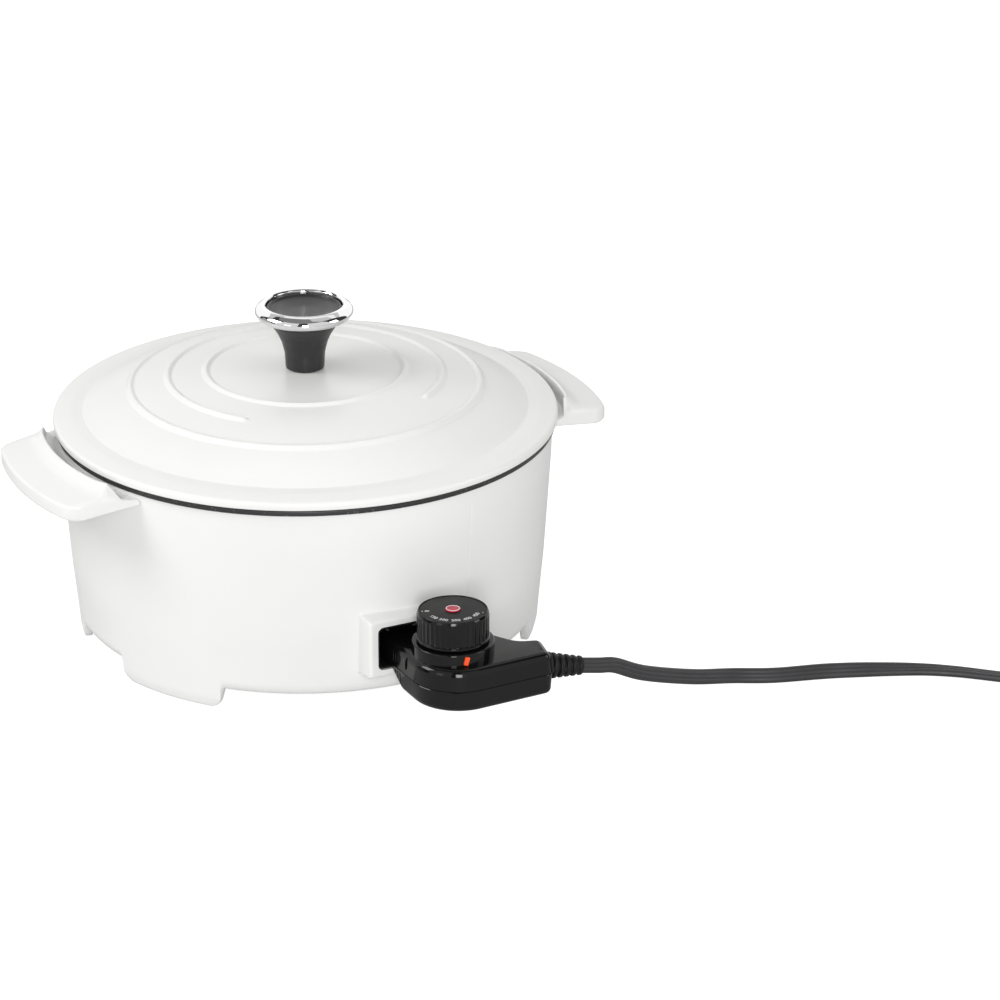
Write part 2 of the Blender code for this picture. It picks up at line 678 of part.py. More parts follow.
def control_inside(body, black, brass, steel, ceramic, glass, orange):
    """Contact block, sleeves, probe, thermostat and pilot lamp."""
    front = piece("contact_block", block((-0.0133, -0.1310, 0.0346), (0.0133, -0.1246, 0.0426)), black, body)
    holes = [
        rod((x, -0.120, PIN_Z), (x, -0.135, PIN_Z), radius, SMALL_STEPS)
        for x, radius in ((-PIN_X, 0.0026), (0, PROBE_R + GAP), (PIN_X, 0.0026))
    ]
    cut(front, *holes)
    sleeves = [
        tube((x, -0.1313, PIN_Z), (x, -0.1430, PIN_Z), 0.0035, 0.0025, SMALL_STEPS)
        for x in (-PIN_X, PIN_X)
    ]
    pieces("contact_sleeve", sleeves, brass, body)

    probe = [(0, 0), (PROBE_R, 0), (PROBE_R, 0.0735), (0.0022, 0.0753), (0.0010, 0.0760), (0, 0.0760)]
    turn = Matrix.Rotation(-math.pi / 2, 3, "X")
    piece("probe_rod", moved(turned(probe, SMALL_STEPS), (0, -0.1500, PIN_Z), turn), steel, body)

    plate = block((-0.0060, -0.1720, 0.0270), (0.0260, -0.1610, 0.0282))
    piece("thermostat_plate", plate, steel, body)
    stack = block((-0.0055, -0.1715, 0.0285), (0.0010, -0.1615, 0.0400), 0.0006, 1)
    piece("thermostat_stack", stack, ceramic, body)
    for name, z in (("contact_spring_lower", 0.0310), ("contact_spring_upper", 0.0350)):
        blade = block((0.0013, -0.1690, z), (0.0240, -0.1640, z + 0.0006))
        tip_z = z + 0.0009 if name.endswith("lower") else z - 0.0014
        contact = block((0.0205, -0.1680, min(z, tip_z)), (0.0235, -0.1650, max(z + 0.0003, tip_z)))
        made = piece(name, blade, brass, body)
        weld(made, contact)
    room = BOSS_TOP - CONTROL_WALL - GAP
    bushing = [(SHAFT_HOLE_R, 0.0460), (0.0065, 0.0460), (0.0065, room), (SHAFT_HOLE_R, room)]
    piece("shaft_bushing", moved(turned(bushing, SMALL_STEPS), (DIAL_X, DIAL_Y, 0)), brass, body)

    lamp = [(0, 0.0440), (0.0022, 0.0440), (0.0022, 0.0480), (0.0015, 0.0493), (0, 0.0498)]
    lamp_place = Vector((DIAL_X, DIAL_Y, 0)) + polar(0.0160, LENS_AZIMUTH)
    piece("pilot_lamp", moved(turned(lamp, SMALL_STEPS), lamp_place), glass, body)
    lens = block((0.0192, -0.0013, 0.0469), (0.0226, 0.0013, 0.0513), 0.0003, 1)
    lens = moved(moved(lens, turn=spin(LENS_AZIMUTH)), (DIAL_X, DIAL_Y, 0))
    piece("indicator_lens", lens, orange, body)

    outline = [(0, 0.0220), (0.0026, 0.0220), (0.0026, 0.0230), (0.0014, 0.0230)]
    outline += [(0.0014, 0.0340), (0, 0.0340)]
    screws = [moved(turned(outline, SMALL_STEPS), (x, y, 0)) for x, y in SCREW_PLACES]
    pieces("control_screw", screws, steel, body)


def dial(body, black, face_look, badge_look, brass):
    def fluted(r, z, step, angle):
        return (r - 0.0007, z) if r == DIAL_R and step % 2 else (r, z)

    outline = [
        (0, 0.0645),
        (0.0033, 0.0645),
        (0.0033, DIAL_LOW),
        (0.0198, DIAL_LOW),
        (0.0198, DIAL_LOW + 0.0012),
        (DIAL_R, DIAL_LOW + 0.0016),
        (DIAL_R, DIAL_HIGH - 0.0014),
        (0.0187, DIAL_HIGH),
        (0.0180, DIAL_HIGH),
        (0.0180, DIAL_HIGH - 0.0012),
        (0, DIAL_HIGH - 0.0012),
    ]
    middle = (DIAL_X, DIAL_Y, 0)
    piece("dial_knob", moved(turned(outline, 2 * FLUTES, fluted), middle), black, body)
    low = DIAL_HIGH - 0.0012 + GAP
    face = [(0, low), (0.0177, low), (0.0177, low + 0.0006), (0, low + 0.0006)]
    piece("dial_face", moved(turned(face, MIDDLE_STEPS), middle), face_look, body)
    low += 0.0006 + GAP
    badge = [(0, low), (0.0042, low), (0.0038, low + 0.0005), (0, low + 0.0007)]
    piece("dial_badge", moved(turned(badge, SMALL_STEPS), middle), badge_look, body)
    shaft = [(0, 0.0360), (0.0022, 0.0364), (0.0030, 0.0372), (0.0030, 0.0642), (0, 0.0642)]
    piece("dial_shaft", moved(turned(shaft, SMALL_STEPS), middle), brass, body)


# ---------------------------------------------------------------- cord
def strain_relief(body, look):
    """Ribbed sleeve that tapers along the cord, clipped through the control's end wall."""
    outline = [(0, -0.0066), (0.0062, -0.0066), (0.0062, -0.0046), (0.0047, -0.0046), (0.0047, 0.0014)]
    ribs = 4
    for i in range(ribs):
        start = 0.0014 + i * (RELIEF_LENGTH - 0.0014) / ribs
        radius = 0.0072 - 0.0018 * i / (ribs - 1)
        outline += [(radius, start), (radius - 0.0003, start + 0.0030)]
        if i < ribs - 1:
            outline += [(radius - 0.0016, start + 0.0034), (radius - 0.0017, start + 0.0044)]
    outline += [(0.0052, RELIEF_LENGTH), (0, RELIEF_LENGTH)]
    turn = RELIEF_WAY.to_track_quat("Z", "Y").to_matrix()
    piece("strain_relief", moved(turned(outline, SMALL_STEPS), RELIEF_START, turn), look, body)


def coil_middle():
    """Centre of the coil, to the right of the cord's heading."""
    return COIL_START + TURN_R * Vector((COIL_WAY[1], -COIL_WAY[0]))


def cord_route():
    """The stretch that isn't coiled: out of the relief, down to the table and along it to the coil."""
    start = RELIEF_START + RELIEF_WAY * (RELIEF_LENGTH + 2 * GAP)
    on_table = CORD_R + TABLE_GAP
    way = Vector((*COIL_WAY, 0))
    end = Vector((*COIL_START, on_table)) - way * 0.0395
    return [
        start,
        start + RELIEF_WAY * 0.0090,
        start + RELIEF_WAY * 0.0180,
        (0.1120, -0.1888, 0.0200),
        (0.1430, -0.1862, 0.0101),
        (0.1685, -0.1868, 0.0056),
        (0.1915, -0.1949, on_table),
        (0.2235, -0.2039, on_table),
        (0.2620, -0.2186, on_table),
        (0.2832, -0.2312, on_table),
        (0.3025, -0.2484, on_table),
        end,
    ]


def cord_and_coil(body, cord_look, tie_look):
    wire("cord", smooth(cord_route(), 0.0190), CORD_R, cord_look, body)
    middle = coil_middle()
    inner = TURN_R - 0.0027
    outer = TURN_R + TURN_PITCH * TURNS + 0.0027
    low, high = 0.0016, 0.0134
    section = [(inner, low), (outer, low), (outer, high - 0.0020), (outer - 0.0020, high)]
    section += [(inner + 0.0020, high), (inner, high - 0.0020)]
    ring = moved(turned(section, 32), (*middle, 0))
    piece("cord_coil", ring, cord_look, body)

    strap, width = 0.0010, 0.0030
    near, far = inner - 2 * GAP, outer + GAP
    below, above = low - GAP, high + GAP
    hole = [(near, below), (far, below), (far, above), (near, above)]
    rim = [(near - strap, below - strap), (far + strap, below - strap)]
    rim += [(far + strap, above + strap), (near - strap, above + strap)]
    sides = ((-width, rim), (width, rim), (width, hole), (-width, hole))
    rings = [[(r, y, z) for r, z in side] for y, side in sides]
    tie = skin(rings, ring_closed=True)
    piece("cord_tie", moved(moved(tie, turn=spin(-140)), (*middle, 0)), tie_look, body)


def plug(body, look, brass):
    """Moulded three-pin plug that lies on the table beside the coil."""
    way = Vector((COIL_WAY[1], -COIL_WAY[0], 0))
    side = Vector((*COIL_WAY, 0))
    offset = TURN_R + TURN_PITCH * TURNS
    origin = Vector((*coil_middle(), 0.0130)) + side * offset
    turn = Matrix((side, Vector((0, 0, 1)), way)).transposed()

    def oval(along, half_width, half_height, power=2.6, count=16):
        ring = []
        for i in range(count):
            a = 2 * math.pi * i / count
            c, s = math.cos(a), math.sin(a)
            ring.append((
                half_width * math.copysign(abs(c) ** (2 / power), c),
                half_height * math.copysign(abs(s) ** (2 / power), s),
                along,
            ))
        return ring

    rings = [
        oval(0.0300, 0.0048, 0.0048, 2),
        oval(0.0440, 0.0068, 0.0068, 2),
        oval(0.0500, 0.0105, 0.0095),
        oval(0.0560, 0.0130, 0.0118),
        oval(0.0640, 0.0126, 0.0112),
        oval(0.0690, 0.0138, 0.0126),
        oval(0.0740, 0.0138, 0.0126),
    ]
    piece("plug_body", moved(skin(rings), origin, turn), look, body)
    blades = [
        moved(block((x - 0.00075, -0.0072, 0.0743), (x + 0.00075, -0.0008, 0.0905), 0.0004, 1), origin, turn)
        for x in (-0.00635, 0.00635)
    ]
    pieces("plug_blade", blades, brass, body)
    pin = [(0, 0.0743), (0.0024, 0.0743), (0.0024, 0.0925), (0.0014, 0.0945), (0, 0.0950)]
    pin = moved(turned(pin, SMALL_STEPS), (0, 0.0065, 0))
    piece("plug_ground_pin", moved(pin, origin, turn), brass, body)


# ---------------------------------------------------------------- the whole cooker
def main():
    for old in list(bpy.data.objects):
        bpy.data.objects.remove(old, do_unlink=True)

    white = material("white_enamel", (0.86, 0.85, 0.82), 0.22)
    white_plastic = material("white_plastic", (0.87, 0.86, 0.84), 0.32)
    nonstick = material("nonstick", (0.030, 0.030, 0.032), 0.45)
    black = material("gloss_black", (0.012, 0.012, 0.012), 0.12)
    matt_black = material("matt_black", (0.018, 0.018, 0.018), 0.55)
    dark = material("dark_stem", (0.055, 0.055, 0.060), 0.35)
    chrome = material("chrome", (0.85, 0.85, 0.86), 0.06, 1.0)
    steel = material("steel", (0.60, 0.60, 0.60), 0.30, 1.0)
    tinplate = material("tinplate", (0.70, 0.70, 0.70), 0.35, 1.0)
    brass = material("brass", (0.72, 0.52, 0.22), 0.30, 1.0)
    ceramic = material("ceramic", (0.80, 0.77, 0.70), 0.50)
    sheath = material("element_sheath", (0.28, 0.27, 0.26), 0.50, 1.0)
    glass = material("lamp_glass", (0.90, 0.55, 0.40), 0.10)
    orange = material("orange_lens", (0.85, 0.16, 0.05), 0.20)
    red = material("red_badge", (0.62, 0.02, 0.06), 0.30)
    cord_look = material("cord_rubber", (0.028, 0.028, 0.030), 0.50)

    base = empty("base_body", (0, 0, 0))
    lid_body = empty("lid_axis", (0, 0, 0))
    control = empty("control_axis", (0, -SOCKET_FRONT, PIN_Z))
    dial_body = empty("dial_axis", (DIAL_X, DIAL_Y, DIAL_LOW))

    outer_shell(base, white_plastic)
    socket_liner(base, matt_black)
    inner_pot(base, nonstick)
    heating_element(base, sheath)
    terminals(base, steel, ceramic)
    underside(base, steel, tinplate, matt_black)
    handle("handle_right", 0, base, white_plastic)
    handle("handle_left", 180, base, white_plastic)
    handle_screws(base, steel)

    lid(lid_body, white)
    knob(lid_body, dark, chrome, steel)

    control_top_shell(control, black)
    control_bottom_shell(control, black)
    control_inside(control, matt_black, brass, steel, ceramic, glass, orange)
    dial(dial_body, black, matt_black, red, brass)
    strain_relief(control, matt_black)
    cord_and_coil(control, cord_look, matt_black)
    plug(control, matt_black, brass)


main()
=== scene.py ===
"""Looks of the round slow cooker with its plug-in control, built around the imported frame.

Metres, +Z up. Shapes are drawn in the pot's own frame, its axis at x = y = 0, and shifted by AXIS_Y.
"""

import math
from math import cos, pi, radians, sin

import bmesh
import bpy
from mathutils import Matrix, Vector


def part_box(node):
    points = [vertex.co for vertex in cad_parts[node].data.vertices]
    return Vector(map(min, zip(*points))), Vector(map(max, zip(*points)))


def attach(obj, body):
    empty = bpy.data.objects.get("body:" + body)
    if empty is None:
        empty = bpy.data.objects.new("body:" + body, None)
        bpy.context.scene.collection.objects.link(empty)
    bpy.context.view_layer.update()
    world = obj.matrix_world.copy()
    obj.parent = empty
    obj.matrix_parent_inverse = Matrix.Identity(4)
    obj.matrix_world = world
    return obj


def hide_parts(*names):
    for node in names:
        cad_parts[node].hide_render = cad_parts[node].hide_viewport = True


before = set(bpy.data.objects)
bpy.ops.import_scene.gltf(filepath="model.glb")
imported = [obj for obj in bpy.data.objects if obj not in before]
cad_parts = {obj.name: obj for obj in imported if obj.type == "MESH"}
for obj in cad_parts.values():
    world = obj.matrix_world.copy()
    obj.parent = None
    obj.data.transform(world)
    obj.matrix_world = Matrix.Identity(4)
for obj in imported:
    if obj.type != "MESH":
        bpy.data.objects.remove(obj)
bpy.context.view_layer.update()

# ---- measures from the frame
LOW, HIGH = 0, 1
X, Y, Z = 0, 1, 2


def edge(node, side, axis):
    """One face of a CAD node's box."""
    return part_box(node)[side][axis]


def centre(node, axis):
    return (edge(node, LOW, axis) + edge(node, HIGH, axis)) / 2


AXIS_Y = centre("inner_pot", Y)

LID_R = edge("lid", HIGH, X)
LID_TOP_Z = edge("lid", HIGH, Z)
LID_EDGE_Z = LID_TOP_Z - 0.0280
LID_WALL = 0.0030
RINGS = ((0.0972, 0.0016), (0.0762, 0.0016), (0.0550, 0.0014))  # radius and height of the raised rings
OPEN_RING = 0.0762
OPEN_FROM, OPEN_TO = -140.5, -54.8  # the middle ring stops here, in degrees
RING_HALF = 0.0027

KNOB_R = edge("knob_ring", HIGH, X)
KNOB_TOP_Z = edge("knob_ring", HIGH, Z)

SHELL_TOP_R = edge("outer_shell", HIGH, X)
SHELL_TOP_Z = edge("outer_shell", HIGH, Z)
SHELL_WALL = 0.0026
SHELL_BOTTOM_Z = 0.0114
FOOT_AZIMUTH = 28.2  # degrees either side of each handle
FOOT_HALF = 16.5  # degrees to each side of a foot's middle
WAIST_R = 0.1325  # the shell at the socket's height
COVER_SCREW_R = 0.098
COVER_SCREWS = (90, 210, 330)  # degrees
SEAM_AZIMUTH = -74.3

SOCKET_FRONT = AXIS_Y - edge("outer_shell", LOW, Y)
RECESS_HALF = 0.0235
RECESS_LOW, RECESS_HIGH = 0.0294, 0.0544
LINER_BACK = AXIS_Y - edge("socket_liner", HIGH, Y)

HANDLE_R = edge("handle_right", HIGH, X)
HANDLE_HALF_ANGLE = 18.5
HANDLE_FLARE = 0.36  # how much wider its root is
HANDLE_RISE = 0.0085  # how far its underside climbs at the ends of the root

PIN_X = centre("terminal_pin_2", X)
PIN_Z = centre("terminal_pin_2", Z)

CONTROL_LOW = edge("control_bottom_shell", LOW, Z)
PARTING_Z = 0.0340
CONTROL_HIGH = 0.0460
CONTROL_WALL = 0.0022
BOSS_TOP = edge("control_top_shell", HIGH, Z)
BOSS_R = 0.0222
DIAL_X = centre("dial_knob", X)
DIAL_Y = centre("dial_knob", Y) - AXIS_Y
DIAL_PLACE = (DIAL_X, DIAL_Y, 0)
DIAL_LOW, DIAL_HIGH = edge("dial_knob", LOW, Z), edge("dial_knob", HIGH, Z)
LENS_AZIMUTH = -97.0
SCREW_PLACES = ((-0.0085, -0.1760), (0.0270, -0.1865), (0.0445, -0.1790))

RELIEF_START = Vector((0.0565, -0.1822, 0.0334))
RELIEF_WAY = Vector((0.98, -0.18, -0.13)).normalized()
RELIEF_LENGTH = 0.0200

LOBE_R = 0.0021  # each of the cord's three cores
LOBE_APART = 0.0022
TURN_R = 0.0385
TURN_PITCH = 0.0045
TURNS = 2.25
COIL_WAY = Vector((0.743, -0.669, 0.0))
COIL_START = Vector((0.3512, -0.2929, 0.0))
COIL_LEFT = Vector((-COIL_WAY.y, COIL_WAY.x, 0.0))
COIL_MIDDLE = COIL_START - TURN_R * COIL_LEFT
PLUG_Z = 0.0130


# ---- materials
class Nodes:
    """A material's node tree, with short calls for the few nodes used here."""

    def __init__(self, name, colour, roughness, metallic=0.0, **sockets):
        self.made = bpy.data.materials.new(name)
        self.made.use_nodes = True
        self.tree = self.made.node_tree
        self.shader = self.tree.nodes["Principled BSDF"]
        self.colour, self.roughness = colour, roughness
        self.fill(self.shader, Base_Color=(*colour, 1.0), Roughness=roughness, Metallic=metallic, **sockets)
        self.place = self.add("TexCoord").outputs["Object"]

    def fill(self, node, **sockets):
        for socket, value in sockets.items():
            node.inputs[socket.replace("_", " ")].default_value = value
        return node

    def add(self, kind, **sockets):
        return self.fill(self.tree.nodes.new("ShaderNode" + kind), **sockets)

    def link(self, value, node, socket):
        self.tree.links.new(value, node.inputs[socket])

    def noise(self, scale, detail=3.0, stretch=None):
        node = self.add("TexNoise", Scale=scale, Detail=detail)
        source = self.place
        if stretch:
            mapping = self.add("Mapping", Scale=stretch)
            self.link(source, mapping, "Vector")
            source = mapping.outputs["Vector"]
        self.link(source, node, "Vector")
        return node.outputs["Fac"]

    def spots(self, scale):
        node = self.add("TexVoronoi", Scale=scale)
        self.link(self.place, node, "Vector")
        return node.outputs["Distance"]

    def ranged(self, value, low, high, to_low, to_high):
        node = self.add("MapRange", From_Min=low, From_Max=high, To_Min=to_low, To_Max=to_high)
        self.link(value, node, "Value")
        return node.outputs["Result"]

    def tint(self, value, other, low=0.35, high=0.65, to_low=0.0, to_high=1.0):
        """The base colour, mixed towards another by the value, read between low and high."""
        node = self.add("Mix")
        node.data_type = "RGBA"
        self.fill(node, A=(*self.colour, 1.0), B=(*other, 1.0))
        self.link(self.ranged(value, low, high, to_low, to_high), node, "Factor")
        self.link(node.outputs["Result"], self.shader, "Base Color")

    def rough(self, value, spread):
        shared = self.ranged(value, 0.3, 0.7, self.roughness - spread, self.roughness + spread)
        self.link(shared, self.shader, "Roughness")

    def bump(self, height, depth):
        node = self.add("Bump", Distance=depth)
        self.link(height, node, "Height")
        self.link(node.outputs["Normal"], self.shader, "Normal")


def finish(name, colour, roughness, metallic=0.0, shade=0.92, spread=0.05, grain=900.0, depth=0.00001,
           cloud=18.0, **sockets):
    """A moulded or machined surface: faint clouding in colour and gloss, and a fine grain in its height."""
    made = Nodes(name, colour, roughness, metallic, **sockets)
    made.tint(made.noise(cloud), [c * shade for c in colour])
    made.rough(made.noise(3 * cloud), spread)
    made.bump(made.noise(grain, 2.0), depth)
    return made.made


def brushed(name, colour, roughness, stretch):
    """Metal with fine drawn lines across the stretched axis."""
    made = Nodes(name, colour, roughness, 1.0)
    lines = made.noise(60.0, 4.0, stretch)
    made.tint(lines, [c * 0.86 for c in colour])
    made.rough(lines, 0.07)
    made.bump(lines, 0.00001)
    return made.made


def speckled(name, colour, fleck, roughness):
    """Sprayed coating with small paler flecks."""
    made = Nodes(name, colour, roughness)
    made.tint(made.spots(420.0), fleck, 0.10, 0.22, 1.0, 0.0)
    made.rough(made.noise(40.0), 0.06)
    made.bump(made.noise(700.0, 2.0), 0.00003)
    return made.made


def make_looks():
    """The materials of the CAD's slots, by name; the frame may already hold one of the same name."""
    made = (
        finish("white_enamel", (0.80, 0.80, 0.785), 0.33, shade=0.985, spread=0.03, grain=260.0,
               depth=0.000012),
        finish("white_plastic", (0.80, 0.80, 0.79), 0.34, shade=0.985, grain=1400.0, depth=0.000008),
        speckled("nonstick", (0.018, 0.018, 0.019), (0.10, 0.10, 0.10), 0.42),
        finish("gloss_black", (0.003, 0.003, 0.003), 0.10, shade=1.6, spread=0.03, grain=500.0,
               depth=0.000003, Specular_IOR_Level=0.30),
        finish("matt_black", (0.008, 0.008, 0.008), 0.45, shade=1.7, grain=1800.0, depth=0.00002,
               Specular_IOR_Level=0.22),
        finish("dark_stem", (0.017, 0.017, 0.018), 0.36, shade=1.2, grain=1500.0, depth=0.000008,
               Specular_IOR_Level=0.40),
        finish("chrome", (0.86, 0.86, 0.87), 0.05, 1.0, shade=0.97, spread=0.02, grain=120.0, depth=0.000002),
        brushed("steel", (0.58, 0.57, 0.56), 0.28, (1.0, 1.0, 14.0)),
        brushed("tinplate", (0.66, 0.66, 0.67), 0.34, (14.0, 1.0, 1.0)),
        brushed("brass", (0.74, 0.55, 0.27), 0.26, (1.0, 14.0, 1.0)),
        finish("ceramic", (0.78, 0.75, 0.68), 0.52, shade=0.93, grain=2200.0, depth=0.00003),
        brushed("element_sheath", (0.20, 0.19, 0.185), 0.46, (6.0, 6.0, 1.0)),
        finish("lamp_glass", (0.90, 0.45, 0.30), 0.10, shade=0.9, Transmission_Weight=0.6),
        # painted glow: the pilot lens emits a faint orange light of its own, though the cooker's plug is not
        # in a socket
        finish("orange_lens", (0.86, 0.085, 0.020), 0.16, shade=0.7, spread=0.03, cloud=900.0,
               Emission_Color=(1.0, 0.10, 0.02, 1.0), Emission_Strength=0.25),
        finish("red_badge", (0.50, 0.012, 0.045), 0.22, shade=0.8, grain=900.0, cloud=300.0),
        finish("cord_rubber", (0.022, 0.021, 0.023), 0.46, shade=1.35, grain=1300.0, depth=0.00003,
               cloud=60.0),
    )
    return {material.name.split(".")[0]: material for material in made}


look = make_looks()
print_white = finish("print_white", (0.78, 0.78, 0.78), 0.45, shade=0.86, cloud=700.0)


# ---- shapes
def skin(rings, closed=False):
    """Quads between successive rings of points, with caps on the first and last unless they close up."""
    bm = bmesh.new()
    rows = [[bm.verts.new(p) for p in ring] for ring in rings]
    for low, high in zip(rows, rows[1:] + rows[:1] if closed else rows[1:]):
        count = max(len(low), len(high))
        for i in range(count):
            j = (i + 1) % count
            corners = (low[i % len(low)], low[j % len(low)], high[j % len(high)], high[i % len(high)])
            face = list(dict.fromkeys(corners))
            if len(face) > 2:
                bm.faces.new(face)
    if not closed:
        for row in (rows[0], rows[-1]):
            if len(row) > 2:
                bm.faces.new(row)
    return bm


def rounded(points, fine=6, closed=False):
    """An outline whose corners, given as (x, y, radius), become arcs; a plain (x, y) stays sharp."""
    outline = []
    count = len(points)
    for i, point in enumerate(points):
        here = Vector(point[:2])
        if len(point) < 3 or (not closed and i in (0, count - 1)):
            outline.append(tuple(here))
            continue
        one, two = Vector(points[i - 1][:2]) - here, Vector(points[(i + 1) % count][:2]) - here
        half = one.angle(two) / 2
        reach = min(point[2] / math.tan(half), 0.49 * one.length, 0.49 * two.length)
        radius = reach * math.tan(half)
        one, two = one.normalized(), two.normalized()
        middle = here + (one + two).normalized() * (radius / sin(half))
        start, end = here + one * reach - middle, here + two * reach - middle
        swept = pi - 2 * half
        for k in range(fine + 1):
            t = k / fine
            side = (start * sin((1 - t) * swept) + end * sin(t * swept)) / sin(swept)
            outline.append(tuple(middle + side))
    return outline


def turned(outline, steps=160, shape=None):
    """A closed (radius, z) outline swept round Z; shape may change a point with its angle in degrees."""
    rings = []
    for r, z in outline:
        if r == 0:
            rings.append([(0, 0, z)])
            continue
        ring = []
        for i in range(steps):
            degrees = 360 * i / steps
            rr, zz = shape(r, z, degrees) if shape else (r, z)
            ring.append((rr * cos(radians(degrees)), rr * sin(radians(degrees)), zz))
        rings.append(ring)
    return skin(rings, closed=not (outline[0][0] == 0 and outline[-1][0] == 0))


def moved(bm, place=(0, 0, 0), turn=None):
    if turn:
        bmesh.ops.transform(bm, matrix=turn.to_4x4(), verts=bm.verts)
    bmesh.ops.translate(bm, verts=bm.verts, vec=Vector(place))
    return bm


def rod(start, end, radius, steps=48, bevel=0.0):
    way = Vector(end) - Vector(start)
    outline = [(0, 0), (radius, 0, bevel), (radius, way.length, bevel), (0, way.length)]
    return moved(turned(rounded(outline), steps), start, way.to_track_quat("Z", "Y").to_matrix())


def block(low, high, bevel=0.0, segments=3):
    low, high = Vector(low), Vector(high)
    bm = bmesh.new()
    bmesh.ops.create_cube(bm, size=1.0, matrix=Matrix.Diagonal((*(high - low), 1.0)))
    if bevel:
        bmesh.ops.bevel(bm, geom=bm.edges[:], offset=bevel, segments=segments, profile=0.5, affect="EDGES")
    return moved(bm, (low + high) / 2)


def meshed(name, shape):
    """A mesh made of a bmesh, which is used up, with its faces turned outwards."""
    bmesh.ops.recalc_face_normals(shape, faces=shape.faces)
    mesh = bpy.data.meshes.new(name)
    shape.to_mesh(mesh)
    shape.free()
    return mesh


def placed(name, data):
    made = bpy.data.objects.new(name, data)
    bpy.context.collection.objects.link(made)
    return made


def joined(shapes):
    """Several bmeshes as one."""
    whole = bmesh.new()
    for shape in shapes:
        mesh = meshed("joined", shape)
        whole.from_mesh(mesh)
        bpy.data.meshes.remove(mesh)
    return whole


def boolean(shape, tool, operation):
    """Two closed bmeshes joined or cut by an exact Boolean, as a new bmesh."""
    pair = [placed("tool", meshed("tool", bm)) for bm in (shape, tool)]
    step = pair[0].modifiers.new("join", "BOOLEAN")
    step.operation = operation
    step.solver = "EXACT"
    step.object = pair[1]
    made = bmesh.new()
    made.from_object(pair[0], bpy.context.evaluated_depsgraph_get())
    for used in pair:
        bpy.data.meshes.remove(used.data)
    return made


def cut(shape, *tools):
    """The tools of one call stay clear of each other."""
    return boolean(shape, joined(tools), "DIFFERENCE")


def weld(shape, *tools):
    for tool in tools:
        shape = boolean(shape, tool, "UNION")
    return shape


def piece(name, shape, slot, body, *nodes, sharp=32):
    """A bmesh in the pot's frame, as a piece that rides on a body and stands for CAD nodes."""
    mesh = meshed(name, moved(shape, (0, AXIS_Y, 0)))
    mesh.shade_smooth()
    mesh.set_sharp_from_angle(angle=radians(sharp))
    made = placed(name, mesh)
    if slot in look:
        mesh.materials.append(look[slot])
    else:
        mesh.materials.append(print_white)
    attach(made, body)
    if nodes:
        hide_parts(*nodes)
    return made


def lathed(name, points, steps, slot, body, *nodes, fine=6, place=(0, 0, 0), sharp=32):
    """A piece turned round Z from an outline with rounded corners."""
    return piece(name, moved(turned(rounded(points, fine), steps), place), slot, body, *nodes, sharp=sharp)


def rectangle(left, right, low, high, radius, y, fine):
    """A rounded rectangle that faces along Y, as one ring of points."""
    corners = [(x, z, radius) for x, z in ((left, low), (right, low), (right, high), (left, high))]
    return [(x, y, z) for x, z in rounded(corners, fine, closed=True)]


def tipped(radius, start, end, tip):
    """A rod along Z with a rounded tip."""
    return turned(rounded([(0, start), (radius, start), (radius, end, tip), (0, end)], 8), 48)


def polar(radius, degrees, z=0.0):
    angle = radians(degrees)
    return Vector((radius * cos(angle), radius * sin(angle), z))


def spin(degrees):
    return Matrix.Rotation(radians(degrees), 3, "Z")


def arc(middle, radius, start, end, count):
    angles = [radians(start + (end - start) * i / (count - 1)) for i in range(count)]
    return [(middle[0] + radius * cos(a), middle[1] + radius * sin(a)) for a in angles]


def quarter(count):
    """(1 - cos, 1 - sin) of even steps through a right angle, without its start."""
    angles = [pi / 2 * i / count for i in range(1, count + 1)]
    return [(1 - cos(a), 1 - sin(a)) for a in angles]


def smooth(points, spacing):
    """A Catmull-Rom curve through the points, read about every spacing."""
    route = [Vector(p) for p in points]
    route = [2 * route[0] - route[1], *route, 2 * route[-1] - route[-2]]
    fine = []
    for a, b, c, d in zip(route, route[1:], route[2:], route[3:]):
        for k in range(20):
            t = k / 20
            bend = (2 * a - 5 * b + 4 * c - d) * t**2
            fine.append(0.5 * (2 * b + (c - a) * t + bend + (3 * b - a - 3 * c + d) * t**3))
    fine.append(route[-2])
    return spaced(fine, spacing)


def spaced(fine, spacing):
    """A polyline read again at even steps."""
    travelled = [0.0]
    for a, b in zip(fine, fine[1:]):
        travelled.append(travelled[-1] + (b - a).length)
    count = max(2, round(travelled[-1] / spacing) + 1)
    read, k = [], 0
    for i in range(count):
        at = travelled[-1] * i / (count - 1)
        while k < len(fine) - 2 and travelled[k + 1] < at:
            k += 1
        share = (at - travelled[k]) / max(1e-9, travelled[k + 1] - travelled[k])
        read.append(fine[k].lerp(fine[k + 1], min(1.0, max(0.0, share))))
    return read


def ease(value, start, end):
    """0 before start, 1 after end, and a smooth step between them; start may be the larger."""
    t = min(1.0, max(0.0, (value - start) / (end - start)))
    return t * t * (3 - 2 * t)


# ---- cord
def cord_route():
    """The stretch that isn't coiled, given point by point: out of the relief, down to the table and along it.
    """
    on_table = 0.0044
    start = RELIEF_START + RELIEF_WAY * RELIEF_LENGTH
    return [
        start - RELIEF_WAY * 0.0040,
        start + RELIEF_WAY * 0.0096,
        start + RELIEF_WAY * 0.0186,
        (0.1120, -0.1888, 0.0200), (0.1430, -0.1862, 0.0101),
        (0.1685, -0.1868, 0.0056), (0.1915, -0.1949, on_table),
        (0.2235, -0.2039, on_table), (0.2620, -0.2186, on_table),
        (0.2832, -0.2312, on_table), (0.3025, -0.2484, on_table),
        *(COIL_START - COIL_WAY * back + Vector((0, 0, on_table)) for back in (0.0395, 0.0200, 0.0)),
    ]


